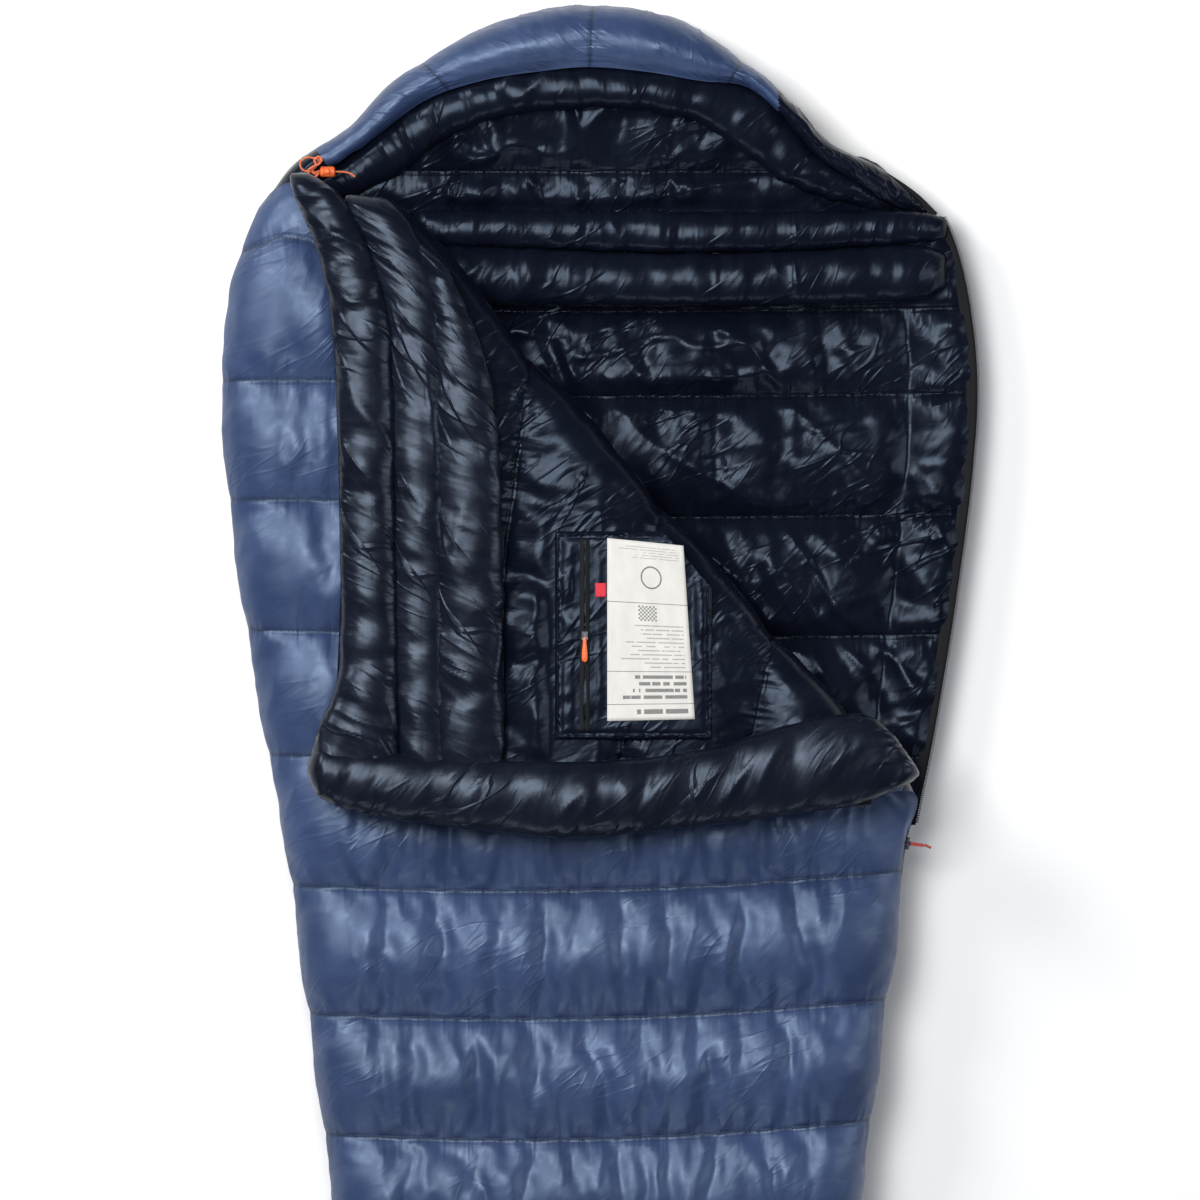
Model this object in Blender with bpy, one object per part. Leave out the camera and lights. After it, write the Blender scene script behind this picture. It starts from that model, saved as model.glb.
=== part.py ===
"""A mummy sleeping bag lying on its back, unzipped, with the zip side of the front folded over.

Metres, +Z up. +Y points to the hood, +X to the zip side. The origin is under the middle of the
bag's box, on the ground. Every down-filled chamber is a plain closed solid of its own.
"""
import math

import bmesh
import bpy
from mathutils import Matrix, Vector

GAP = 0.0004  # air left between neighbouring pieces

# Half width of the bag at a height along it. The middle stretch is straight, for the zip.
OUTLINE = ((0.850, 0.365), (0.803, 0.383), (0.720, 0.397), (0.650, 0.400), (0.550, 0.391),
           (0.420, 0.373), (0.290, 0.351), (0.195, 0.3305), (-0.750, 0.205), (-0.950, 0.188))
NECK_Y = 0.850
FOOT_Y = -1.075
FOOT_CAP_Y = -0.950
ZIP_TOP = Vector((0.3305, 0.195, 0.0))
ZIP_END = Vector((0.205, -0.750, 0.0))

# Heights of the layers, from the ground up.
BACK_Z = (0.0, 0.050)
SIDE_Z = (0.0504, 0.0850)
FRONT_Z = (0.0854, 0.1250)
FOLD_Z = 0.1270
COLLAR_TUBE_Z = (0.0500, 0.0850)  # under the closed flap
COLLAR_BAND_Z = (0.0620, 0.0850)
BACK_COLLAR_TOP = 0.086

# Seams across the bag. A panel holds one or two chambers, so it has two or three seams.
BACK_SEAMS = ((0.850, 0.676, 0.554), (0.554, 0.420, 0.290), (0.290, 0.152, 0.017),
              (0.017, -0.110, -0.235), (-0.235, -0.360, -0.485), (-0.485, -0.610, -0.735),
              (-0.735, -0.855, -0.950))
LEFT_FRONT_SEAMS = ((0.850, 0.676), (0.676, 0.554), (0.554, 0.420), (0.420, 0.290), (0.290, 0.152))
LEG_FRONT_SEAMS = ((0.152, 0.017), (0.017, -0.110, -0.235), (-0.235, -0.360, -0.485),
                   (-0.485, -0.610, -0.735), (-0.735, -0.855, -0.950))
FLAP_SEAMS = ((0.850, 0.676), (0.676, 0.554), (0.554, 0.420), (0.420, 0.262))

# The fold runs from the left end of the neck down to the zip slider.
FOLD_TOP = Vector((-0.190, 0.835, FOLD_Z))
FOLD_END = Vector((0.333, 0.242, FOLD_Z))

# The hood seen from above, from its right end to the middle: rim and outer edge.
HOOD_RIM = ((0.285, 0.897), (0.235, 0.925), (0.185, 0.948), (0.140, 0.966), (0.090, 0.978),
            (0.045, 0.984), (0.0, 0.986))
HOOD_EDGE = ((0.312, 0.903), (0.262, 0.930), (0.216, 0.972), (0.171, 1.012), (0.122, 1.040),
             (0.065, 1.062), (0.0, 1.075))
HOOD_HEIGHT = (0.080, 0.088, 0.098, 0.106, 0.112, 0.116, 0.118)
HOOD_HINGE = Vector((0.0, NECK_Y, BACK_Z[1]))

# Cross section of one chamber: across from seam to seam, and up from 0 to 1.
CHAMBER = ((-0.80, 0.0), (0.80, 0.0), (1.0, 0.30), (0.86, 0.80), (0.0, 1.0), (-0.86, 0.80),
           (-1.0, 0.30))
CHAMBER_STATIONS = ((0.0, 0.32, 0.66), (0.06, 0.0, 1.0), (0.5, 0.0, 1.0), (0.94, 0.0, 1.0),
                    (1.0, 0.32, 0.66))

MATERIALS = {
    "shell": ((0.075, 0.110, 0.235), 0.38, 0.0),
    "lining": ((0.020, 0.025, 0.042), 0.28, 0.0),
    "zip_tape": ((0.010, 0.011, 0.014), 0.80, 0.0),
    "zip_teeth": ((0.014, 0.015, 0.018), 0.35, 0.0),
    "slider_metal": ((0.060, 0.062, 0.070), 0.30, 0.9),
    "cord_orange": ((0.720, 0.120, 0.030), 0.70, 0.0),
    "toggle_orange": ((0.800, 0.150, 0.040), 0.35, 0.0),
    "pull_red": ((0.480, 0.050, 0.050), 0.60, 0.0),
    "label_white": ((0.640, 0.630, 0.600), 0.75, 0.0),
    "tab_red": ((0.620, 0.030, 0.050), 0.65, 0.0),
}


def clear_scene():
    for obj in list(bpy.data.objects):
        bpy.data.objects.remove(obj, do_unlink=True)


def make_collection(name):
    collection = bpy.data.collections.new(name)
    bpy.context.scene.collection.children.link(collection)
    return collection


def make_material(name):
    color, roughness, metallic = MATERIALS[name]
    material = bpy.data.materials.new(name)
    material.use_nodes = True
    shader = material.node_tree.nodes["Principled BSDF"]
    shader.inputs["Base Color"].default_value = (*color, 1.0)
    shader.inputs["Roughness"].default_value = roughness
    shader.inputs["Metallic"].default_value = metallic
    material.diffuse_color = (*color, 1.0)
    return material


def make_pivot(name, location, parent=None):
    """An empty on a joint's axis. The pieces that turn or slide there are its children."""
    pivot = bpy.data.objects.new(name, None)
    bag.objects.link(pivot)
    pivot.location = location - (parent.matrix_world.translation if parent else Vector())
    pivot.parent = parent
    bpy.context.view_layer.update()
    return pivot


def place(name, data, material, pivot=None):
    """Links an object whose shape is in world coordinates, and hangs it on its pivot."""
    obj = bpy.data.objects.new(name, data)
    bag.objects.link(obj)
    data.materials.append(materials[material])
    if pivot:
        data.transform(Matrix.Translation(-pivot.matrix_world.translation))
        obj.parent = pivot
    return obj


def mesh_from(name, bm, smooth_angle=40.0):
    bmesh.ops.recalc_face_normals(bm, faces=bm.faces)
    mesh = bpy.data.meshes.new(name)
    bm.to_mesh(mesh)
    bm.free()
    mesh.shade_smooth()
    mesh.set_sharp_from_angle(angle=math.radians(smooth_angle))
    return mesh


def loft(name, sections, material, pivot=None):
    """One closed body through sections that have the same number of points."""
    bm = bmesh.new()
    rings = [[bm.verts.new(point) for point in section] for section in sections]
    for ring, following in zip(rings, rings[1:]):
        for i in range(len(ring)):
            j = (i + 1) % len(ring)
            bm.faces.new((ring[i], ring[j], following[j], following[i]))
    bm.faces.new(rings[0])
    bm.faces.new(rings[-1])
    return place(name, mesh_from(name, bm), material, pivot)


def box(name, low, high, material, pivot=None, turn=None, bevel=0.0):
    """A block between two corners, with its edges rounded, then turned by a matrix."""
    bm = bmesh.new()
    bmesh.ops.create_cube(bm, size=1.0)
    low, high = Vector(low), Vector(high)
    for vert in bm.verts:
        vert.co = Vector([a + (b - a) * (c + 0.5) for a, b, c in zip(low, high, vert.co)])
    if bevel:
        bmesh.ops.bevel(bm, geom=bm.edges[:], offset=bevel, segments=1, affect="EDGES")
    if turn:
        bm.transform(turn)
    return place(name, mesh_from(name, bm), material, pivot)


def tube(name, points, radius, material, pivot=None):
    curve = bpy.data.curves.new(name, "CURVE")
    curve.dimensions = "3D"
    curve.bevel_depth = radius
    curve.bevel_resolution = 2
    curve.use_fill_caps = True
    spline = curve.splines.new("POLY")
    spline.points.add(len(points) - 1)
    for spot, point in zip(spline.points, points):
        spot.co = (*point, 1.0)
    return place(name, curve, material, pivot)


def smooth_route(route, step):
    """Evenly spread points on a Catmull-Rom curve through the points of a route."""
    ends = [route[0] * 2 - route[1], *route, route[-1] * 2 - route[-2]]
    fine = []
    for a, b, c, d in zip(ends, ends[1:], ends[2:], ends[3:]):
        for k in range(24):
            t = k / 24
            fine.append((b * 2 + (c - a) * t + (a * 2 - b * 5 + c * 4 - d) * t * t
                         + (b * 3 - a - c * 3 + d) * t ** 3) / 2)
    fine.append(route[-1])
    points = [fine[0]]
    for point in fine:
        if (point - points[-1]).length >= step:
            points.append(point)
    return points


def between(pairs, key):
    """Linear interpolation in pairs whose first values rise or fall all the way."""
    pairs = sorted(pairs)
    if key <= pairs[0][0]:
        return pairs[0][1]
    for (a, low), (b, high) in zip(pairs, pairs[1:]):
        if key <= b:
            return low + (high - low) * (key - a) / (b - a)
    return pairs[-1][1]


def half_width(y):
    return between(OUTLINE, y)


def fold_x(y):
    """Where the fold crosses a line across the bag."""
    slope = (FOLD_END.x - FOLD_TOP.x) / (FOLD_TOP.y - FOLD_END.y)
    return FOLD_TOP.x + slope * (FOLD_TOP.y - y)


def panel_outline(seams):
    """The section of a panel of one or two chambers, as (y, height from 0 to 1)."""
    chambers = []
    for high, low in zip(seams, seams[1:]):
        middle, half = (high + low) / 2, (high - low) / 2 - GAP / 2
        chambers.append([(middle - across * half, up) for across, up in CHAMBER])
    if len(chambers) == 1:
        return chambers[0]
    first, second = chambers
    seam = (seams[1], 0.62)
    bottom = [first[0], second[1], second[2]]
    return [*bottom, second[3], second[4], second[5], seam, first[3], first[4], first[5], first[6]]


def panel(name, seams, left, right, heights, material, pivot=None, turn=None):
    """A panel of chambers across the bag, from one side line to the other."""
    low, high = heights
    sections = []
    for across, bottom, top in CHAMBER_STATIONS:
        section = []
        for y, up in panel_outline(seams):
            x = left(y) + (right(y) - left(y)) * across
            z = low + (high - low) * (bottom + (top - bottom) * up)
            section.append(turn @ Vector((x, y, z)) if turn else Vector((x, y, z)))
        sections.append(section)
    return loft(name, sections, material, pivot)


def soft_section(width, height):
    """A soft tube's section about its middle: flat below and rounded above."""
    w, h = width / 2, height / 2
    return ((-0.75 * w, -h), (0.75 * w, -h), (w, -0.1 * h), (0.7 * w, 0.8 * h), (0.0, h),
            (-0.7 * w, 0.8 * h), (-w, -0.1 * h))


def side_tube(name, ys, side, inner, outer, heights, material, pivot=None, turn=None):
    """A tube that follows the bag's side line, between two distances in from it."""
    low, high = heights
    sections = []
    for y in ys:
        middle = side * (half_width(y) - (inner + outer) / 2)
        section = [Vector((middle + a, y, (low + high) / 2 + b))
                   for a, b in soft_section(inner - outer, high - low)]
        sections.append([turn @ point for point in section] if turn else section)
    return loft(name, sections, material, pivot)


def cross_tube(name, xs, y_low, y_high, heights, material, pivot=None, turn=None):
    """A tube across the bag. Its ends may lean: xs holds two functions of y."""
    low, high = heights
    sections = []
    for across in (0.0, 0.08, 0.36, 0.64, 0.92, 1.0):
        shrink = 0.72 if across in (0.0, 1.0) else 1.0
        section = []
        for a, b in soft_section((y_high - y_low) * shrink, (high - low) * shrink):
            y = (y_low + y_high) / 2 + a
            x = xs[0](y) + (xs[1](y) - xs[0](y)) * across
            point = Vector((x, y, (low + high) / 2 + b))
            section.append(turn @ point if turn else point)
        sections.append(section)
    return loft(name, sections, material, pivot)


def side_strip(name, ys, inner, outer, heights, material, pivot=None, turn=None):
    """A flat strip along the right side line: inner and outer are distances out from it."""
    sections = []
    for y in ys:
        x = half_width(y)
        corners = ((x + inner, heights[0]), (x + outer, heights[0]), (x + outer, heights[1]),
                   (x + inner, heights[1]))
        section = [Vector((a, y, z)) for a, z in corners]
        sections.append([turn @ point for point in section] if turn else section)
    return loft(name, sections, material, pivot)


def build_body():
    """The back, the closed front, the sides and the foot."""
    for number, seams in enumerate(BACK_SEAMS, 1):
        panel(f"back_panel_{number}", seams, lambda y: -half_width(y), half_width, BACK_Z, "shell")
    for number, seams in enumerate(LEFT_FRONT_SEAMS, 1):
        panel(f"front_panel_{number}", seams, lambda y: -half_width(y),
              lambda y: min(fold_x(y) - 0.004, half_width(y)), FRONT_Z, "shell")
    for number, seams in enumerate(LEG_FRONT_SEAMS, len(LEFT_FRONT_SEAMS) + 1):
        panel(f"front_panel_{number}", seams, lambda y: -half_width(y), half_width, FRONT_Z,
              "shell")
    left_ys = (0.848, 0.720, 0.640, 0.420, 0.195, -0.750, -0.946)
    side_tube("side_baffle_left", left_ys, -1, 0.055, 0.008, SIDE_Z, "shell")
    side_tube("side_baffle_right", (0.190, -0.750, -0.946), 1, 0.055, 0.012, SIDE_Z, "shell")
    build_foot()


def build_foot():
    """The foot closes the tube. Its sections shrink towards the end."""
    top = FRONT_Z[1]
    stations = ((FOOT_CAP_Y - GAP, 0.188, 0.0, top), (-1.000, 0.182, 0.0, top),
                (-1.040, 0.160, 0.0, top * 0.92), (-1.065, 0.128, 0.012, top * 0.78),
                (FOOT_Y, 0.090, 0.032, top * 0.60))
    sections = []
    for y, half, low, high in stations:
        rise = high - low
        ring = ((-0.90, 0.0), (0.90, 0.0), (1.0, 0.25), (1.0, 0.70), (0.86, 0.95), (0.0, 1.0),
                (-0.86, 0.95), (-1.0, 0.70), (-1.0, 0.25))
        sections.append([Vector((a * half, y, low + b * rise)) for a, b in ring])
    loft("foot_end", sections, "shell")


def hood_line(points, side):
    return [Vector((side * x, y, 0.0)) for x, y in points]


def build_hood(pivot):
    """Floor of the hood, its crown in three panels, the rim roll and the cord in the rim."""
    top_of = [(x, y - 0.0006) for x, y in HOOD_RIM] + [(0.362, 0.8535)]
    sections = []
    for x in (-0.360, -0.335, -0.285, -0.185, -0.090, 0.0, 0.090, 0.185, 0.285, 0.335, 0.360):
        low, high = NECK_Y + GAP, between(top_of, abs(x))
        lift = 0.012 if abs(x) > 0.35 else 0.0
        rise = BACK_Z[1] * (0.55 if abs(x) > 0.35 else 0.86 if abs(x) > 0.3 else 1.0)
        ring = ((0.06, 0.0), (0.94, 0.0), (1.0, 0.35), (0.93, 0.86), (0.5, 1.0), (0.07, 0.86),
                (0.0, 0.35))
        sections.append([Vector((x, low + (high - low) * a, lift + (rise - lift) * b))
                         for a, b in ring])
    loft("hood_floor", sections, "lining", pivot)

    stations = []
    for side, order in ((-1, 1), (1, -1)):
        half = [(inner, outer, h) for inner, outer, h in
                zip(hood_line(HOOD_RIM, side), hood_line(HOOD_EDGE, side), HOOD_HEIGHT)]
        stations += half if order == 1 else half[-2::-1]
    ring = ((0.0, 0.0), (0.85, 0.0), (1.0, 0.30), (0.93, 0.72), (0.5, 1.0), (0.06, 0.84))
    for name, first, last in (("left", 0, 3), ("top", 3, 9), ("right", 9, 12)):
        sections = []
        for k in range(first, last + 1):
            inner, outer, height = stations[k]
            shift = GAP * ((k == first and first > 0) - (k == last and last < 12))
            sections.append([inner.lerp(outer, a) + Vector((shift, 0.0, b * height))
                             for a, b in ring])
        loft(f"hood_crown_{name}", sections, "shell", pivot)

    route = [inner + Vector((0.0, -0.0215, h * 0.84 + 0.004)) for inner, outer, h in stations]
    route[0].x += 0.014
    route[-1].x -= 0.014
    tube("hood_rim_roll", route, 0.0165, "lining", pivot)

    corners = ((0.3585, 0.8545), (0.3170, 0.8935))
    direction = Vector((corners[1][0] - corners[0][0], corners[1][1] - corners[0][1], 0.0))
    out = Vector((-direction.y, direction.x, 0.0)).normalized() * -0.014
    sections = []
    for x, y in corners:
        start = Vector((x, y, BACK_Z[1] + GAP))
        sections.append([start, start + out, start + out + Vector((0, 0, 0.0012)),
                         start + Vector((0, 0, 0.0012))])
    loft("hood_zip_tape", sections, "zip_tape", pivot)


def build_back_collar():
    """Two tubes across the back at the shoulders."""
    ends = (lambda y: -0.095, lambda y: half_width(y) - 0.020)
    low = BACK_Z[1] + GAP
    cross_tube("back_collar_tube_upper", ends, 0.8175, 0.8492, (low, BACK_COLLAR_TOP - 0.008),
               "lining")
    cross_tube("back_collar_tube_lower", ends, 0.7610, 0.8170, (low, BACK_COLLAR_TOP), "lining")


def flap_turn():
    """Half a turn about the fold: from the closed place of the flap to where it rests."""
    axis = (FOLD_END - FOLD_TOP).normalized()
    return (Matrix.Translation(FOLD_TOP) @ Matrix.Rotation(math.pi, 4, axis)
            @ Matrix.Translation(-FOLD_TOP))


def build_flap(pivot):
    """The loose part of the front, its collar tubes, the draft tube and its half of the zip."""
    turn = flap_turn()
    for number, seams in enumerate(FLAP_SEAMS, 1):
        panel(f"flap_panel_{number}", seams, lambda y: fold_x(y) + 0.004,
              lambda y: half_width(y) - 0.002, FRONT_Z, "shell", pivot, turn)
    ends = (lambda y: fold_x(y) + 0.030, lambda y: half_width(y) - 0.0765)
    for name, low, high, heights in (("neck_edge_roll", 0.7860, 0.8490, COLLAR_TUBE_Z),
                                     ("collar_band", 0.7360, 0.7855, COLLAR_BAND_Z),
                                     ("collar_tube", 0.6760, 0.7355, COLLAR_TUBE_Z)):
        cross_tube(name, ends, low, high, heights, "lining", pivot, turn)
    ys = (0.849, 0.803, 0.720, 0.650, 0.550, 0.420, 0.290)
    side_tube("zip_draft_tube", ys, 1, 0.076, 0.004, COLLAR_TUBE_Z, "lining", pivot, turn)
    high = FRONT_Z[0] - GAP
    side_strip("flap_zip_tape", ys, -0.0035, 0.005, (high - 0.001, high), "zip_tape", pivot, turn)
    side_strip("flap_zip_teeth", ys, 0.0054, 0.0084, (high - 0.002, high + 0.001), "zip_teeth",
               pivot, turn)


def build_pocket(pivot, slider_pivot, pull_pivot, label_pivot):
    """The flat pocket on the flap's lining, its zip, the sewn label and the small tab."""
    floor = 2 * FOLD_Z - FRONT_Z[0] + GAP
    outline = ((-0.048, 0.300), (0.118, 0.300), (0.118, 0.455), (0.070, 0.515), (-0.048, 0.515))
    sections = [[Vector((x, y, z)) for x, y in outline] for z in (floor, floor + 0.002)]
    loft("inner_pocket", sections, "lining", pivot)
    top = floor + 0.002 + GAP
    box("pocket_zip_tape", (-0.026, 0.306, top), (-0.006, 0.508, top + 0.001), "zip_tape", pivot)
    top_tape = top + 0.001 + GAP
    box("pocket_slider", (-0.0195, 0.401, top_tape), (-0.0125, 0.411, top_tape + 0.003),
        "slider_metal", slider_pivot, bevel=0.0006)
    z = pull_pivot.matrix_world.translation.z
    box("pocket_pull", (-0.0190, 0.3785, z - 0.0008), (-0.0130, 0.4050, z + 0.0012),
        "toggle_orange", pull_pivot, bevel=0.0005)
    label = ((0.0075, 0.3170), (0.0990, 0.3190), (0.0870, 0.5000), (0.0075, 0.5080))
    sections = [[Vector((x, y, z)) for x, y in label] for z in (top, top + 0.0006)]
    loft("care_label", sections, "label_white", label_pivot)
    box("side_tab", (-0.0050, 0.4465, top), (0.0065, 0.4610, top + 0.0012), "tab_red", pivot)


def build_zip(slider_pivot, pull_pivot):
    """The open half on the bag's side, the closed chain, the slider and its pull."""
    ys = (0.849, 0.803, 0.720, 0.650, 0.550, 0.420, 0.290, 0.214)
    low = BACK_Z[1] + GAP
    side_strip("bag_zip_tape", ys, -0.012, 0.0035, (low, low + 0.001), "zip_tape")
    side_strip("bag_zip_teeth", ys, 0.0039, 0.0069, (low - 0.001, low + 0.002), "zip_teeth")

    along = (ZIP_TOP - ZIP_END).normalized()
    out = Vector((along.y, -along.x, 0.0))
    turn = Matrix.Translation(ZIP_TOP) @ Matrix((
        (out.x, along.x, 0.0, 0.0), (out.y, along.y, 0.0, 0.0), (0.0, 0.0, 1.0, 0.0),
        (0.0, 0.0, 0.0, 1.0)))
    length = (ZIP_TOP - ZIP_END).length
    middle = (SIDE_Z[0] + SIDE_Z[1]) / 2
    box("closed_zip_tape", (-0.0095, -length, middle - 0.015), (-0.0085, -0.002, middle + 0.015),
        "zip_tape", turn=turn)
    box("closed_zip_chain", (-0.0081, -length, middle - 0.003), (-0.0055, -0.002, middle + 0.003),
        "zip_teeth", turn=turn)
    box("zip_bottom_stop", (-0.0051, -length, middle - 0.0035),
        (-0.0031, -length + 0.005, middle + 0.0035), "slider_metal", turn=turn, bevel=0.0004)
    build_slider(slider_pivot, pull_pivot, turn, middle)


def build_slider(slider_pivot, pull_pivot, turn, middle):
    """A plate over the chain with a lip on either side, and a lug that holds the pull."""
    sections = []
    for y, lug in ((-0.0160, 0.0), (-0.0118, 0.0), (-0.0112, 0.0041), (-0.0078, 0.0041),
                   (-0.0072, 0.0), (-0.0030, 0.0)):
        top = -0.0021 + lug
        outline = ((-0.0080, 0.0034), (-0.0051, 0.0034), (-0.0051, -0.0034), (-0.0080, -0.0034),
                   (-0.0080, -0.0058), (-0.0030, -0.0058), (-0.0022, -0.0046),
                   (-0.0022, -0.0014), (top, -0.0014), (top, 0.0014), (-0.0022, 0.0014),
                   (-0.0022, 0.0046), (-0.0030, 0.0058), (-0.0080, 0.0058))
        sections.append([turn @ Vector((x, y, middle + z)) for x, z in outline])
    loft("zip_slider", sections, "slider_metal", slider_pivot)
    fork = ((-0.0012, 0.0018), (0.0060, 0.0018), (0.0060, -0.0018), (-0.0012, -0.0018),
            (-0.0012, -0.0034), (0.0120, -0.0034), (0.0120, 0.0034), (-0.0012, 0.0034))
    sections = [[turn @ Vector((x, y, middle + z)) for x, z in fork] for y in (-0.0113, -0.0077)]
    loft("zip_pull", sections, "slider_metal", pull_pivot)
    route = [turn @ Vector((x, y, middle)) for x, y in
             ((0.0124, -0.0095), (0.0160, -0.0090), (0.0200, -0.0110), (0.0235, -0.0105))]
    tube("zip_pull_cord", smooth_route(route, 0.003), 0.0014, "pull_red", pull_pivot)


def build_drawcord(hood_pivot, lock_pivot, button_pivot):
    """The free end of the cord that draws the rim in, with its lock and end knot."""
    centre = lock_pivot.matrix_world.translation
    x, y, z = centre
    route = [Vector(p) for p in (
        (x + 0.0290, y - 0.0050, z), (x + 0.0230, y - 0.0015, z), (x + 0.0150, y, z),
        (x, y, z), (x - 0.0190, y, z), (x - 0.0270, y + 0.0030, z), (x - 0.0285, y + 0.0100, z),
        (x - 0.0220, y + 0.0150, z + 0.001), (x - 0.0130, y + 0.0140, z + 0.001))]
    tube("drawcord", smooth_route(route, 0.0042), 0.0010, "cord_orange", hood_pivot)
    bm = bmesh.new()
    bmesh.ops.create_uvsphere(bm, u_segments=10, v_segments=6, radius=0.0026)
    bm.transform(Matrix.Translation(route[-1] + Vector((0.0042, -0.0004, 0.0))))
    place("drawcord_knot", mesh_from("drawcord_knot", bm), "cord_orange", hood_pivot)

    body = cylinder_mesh("cordlock_body", 0.0058, 0.0160, 16, "X", centre)
    lock = place("cordlock_body", body, "toggle_orange", lock_pivot)
    bore = cylinder_mesh("cord_hole", 0.0017, 0.0200, 12, "X", centre)
    seat = cylinder_mesh("button_seat", 0.0032, 0.0060, 16, "Z", centre + Vector((0, 0, 0.0060)))
    for mesh in (bore, seat):
        cut(lock, mesh)
    button = cylinder_mesh("cordlock_button", 0.0028, 0.0042, 16, "Z",
                           centre + Vector((0, 0, 0.0080)))
    place("cordlock_button", button, "toggle_orange", button_pivot)


def cylinder_mesh(name, radius, depth, segments, axis, centre):
    bm = bmesh.new()
    bmesh.ops.create_cone(bm, cap_ends=True, segments=segments, radius1=radius, radius2=radius,
                          depth=depth)
    if axis == "X":
        bm.transform(Matrix.Rotation(math.pi / 2, 4, "Y"))
    bm.transform(Matrix.Translation(centre))
    return mesh_from(name, bm)


def cut(obj, mesh):
    cutter = bpy.data.objects.new(mesh.name, mesh)
    cutters.objects.link(cutter)
    cutter.hide_render = True
    cutter.display_type = "WIRE"
    modifier = obj.modifiers.new(mesh.name, "BOOLEAN")
    modifier.operation = "DIFFERENCE"
    modifier.solver = "EXACT"
    modifier.object = cutter


clear_scene()
bag = make_collection("mummy_sleeping_bag")
cutters = make_collection("cutters")
cutters.hide_render = True
materials = {name: make_material(name) for name in MATERIALS}

fold_pivot = make_pivot("flap_fold", FOLD_TOP)
hood_pivot = make_pivot("hood_hinge", HOOD_HINGE)
pocket_top = 2 * FOLD_Z - FRONT_Z[0] + 0.0042
pocket_slider_pivot = make_pivot("pocket_zip_slide", Vector((-0.016, 0.406, pocket_top)), fold_pivot)
pocket_pull_pivot = make_pivot("pocket_pull_pivot", Vector((-0.016, 0.404, pocket_top + 0.0046)),
                               pocket_slider_pivot)
label_pivot = make_pivot("label_seam", Vector((0.053, 0.3170, pocket_top - 0.0014)), fold_pivot)
slider_place = ZIP_TOP + (ZIP_END - ZIP_TOP).normalized() * 0.0095
slider_place.z = (SIDE_Z[0] + SIDE_Z[1]) / 2
zip_pivot = make_pivot("zip_slide", slider_place)
zip_pull_pivot = make_pivot("zip_pull_pivot", slider_place, zip_pivot)
lock_pivot = make_pivot("cordlock_slide", Vector((-0.287, 0.8945, 0.0930)), hood_pivot)
button_pivot = make_pivot("cordlock_press", Vector((-0.287, 0.8945, 0.1010)), lock_pivot)

build_body()
build_hood(hood_pivot)
build_back_collar()
build_flap(fold_pivot)
build_pocket(fold_pivot, pocket_slider_pivot, pocket_pull_pivot, label_pivot)
build_zip(zip_pivot, zip_pull_pivot)
build_drawcord(hood_pivot, lock_pivot, button_pivot)
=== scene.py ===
"""How the mummy sleeping bag looks: down-filled quilting, tubes, zips, cord and labels.

Every soft piece starts as a flat grid. Blender's cloth puffs it up between its seams, and a
short formula then lays it in its place on the bag. Metres, +Y to the hood, +X to the zip side.
"""

import math

import bmesh
import bpy
import numpy as np
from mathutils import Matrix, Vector


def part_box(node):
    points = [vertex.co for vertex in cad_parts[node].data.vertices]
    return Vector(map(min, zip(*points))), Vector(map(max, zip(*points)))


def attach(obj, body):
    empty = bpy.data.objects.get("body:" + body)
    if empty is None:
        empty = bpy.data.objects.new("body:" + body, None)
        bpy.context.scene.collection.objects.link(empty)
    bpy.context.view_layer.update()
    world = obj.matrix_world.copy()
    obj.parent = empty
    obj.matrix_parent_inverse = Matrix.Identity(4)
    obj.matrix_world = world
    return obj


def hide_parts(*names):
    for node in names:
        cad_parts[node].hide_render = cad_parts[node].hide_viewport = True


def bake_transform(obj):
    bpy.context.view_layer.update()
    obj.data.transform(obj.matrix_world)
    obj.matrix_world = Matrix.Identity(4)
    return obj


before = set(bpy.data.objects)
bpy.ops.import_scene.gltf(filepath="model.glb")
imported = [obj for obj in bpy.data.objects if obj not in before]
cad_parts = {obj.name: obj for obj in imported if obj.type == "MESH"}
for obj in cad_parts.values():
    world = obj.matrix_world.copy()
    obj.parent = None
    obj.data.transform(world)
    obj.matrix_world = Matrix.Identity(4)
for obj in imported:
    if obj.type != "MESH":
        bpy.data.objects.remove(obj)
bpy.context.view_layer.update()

# Half width of the bag at a height along it, foot first.
OUTLINE = ((-0.950, 0.188), (-0.750, 0.205), (0.195, 0.3305), (0.290, 0.351), (0.420, 0.373),
           (0.550, 0.391), (0.650, 0.400), (0.720, 0.397), (0.803, 0.383), (0.850, 0.365),
           (0.870, 0.354), (0.895, 0.336))
OUTLINE_ROUNDING = 0.035
FRONT_SEAMS = (-0.950, -0.855, -0.735, -0.610, -0.485, -0.360, -0.235, -0.110, 0.017, 0.152,
               0.290, 0.420, 0.554, 0.676, 0.850)
SHOULDER_SEAM = 0.800  # only on the left strip of the front
FLAP_LINING_SEAMS = (0.152, 0.290, 0.420, 0.554, 0.700)
BACK_LINING_SEAMS = (0.152, 0.280, 0.406, 0.533, 0.660, 0.756)
INNER_SEAM_SIDE = 0.82  # share of the half width where the back lining is sewn at the zip side
HIDDEN_BELOW = 0.152  # the inside of the closed leg part starts here
CELL_FINE, CELL_COARSE, COARSE_BELOW = 0.0065, 0.0090, -0.20
COLUMNS = 117

FRONT_MIDDLE = 0.105
FRONT_SKIN, LINING_SKIN = 0.004, 0.006  # from the middle of the front to its fabrics at a seam
HELD_DOWN = 0.0185  # the most that the lining may rise under the tubes and the pocket
TURNED_UP_X, TURNED_UP_Y = (0.245, 0.318), 0.264  # corner of the flap that shows its shell
SIDE_INSET, LEFT_INSET = 0.008, 0.001  # how far the quilts' sides stay inside the outline
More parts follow.
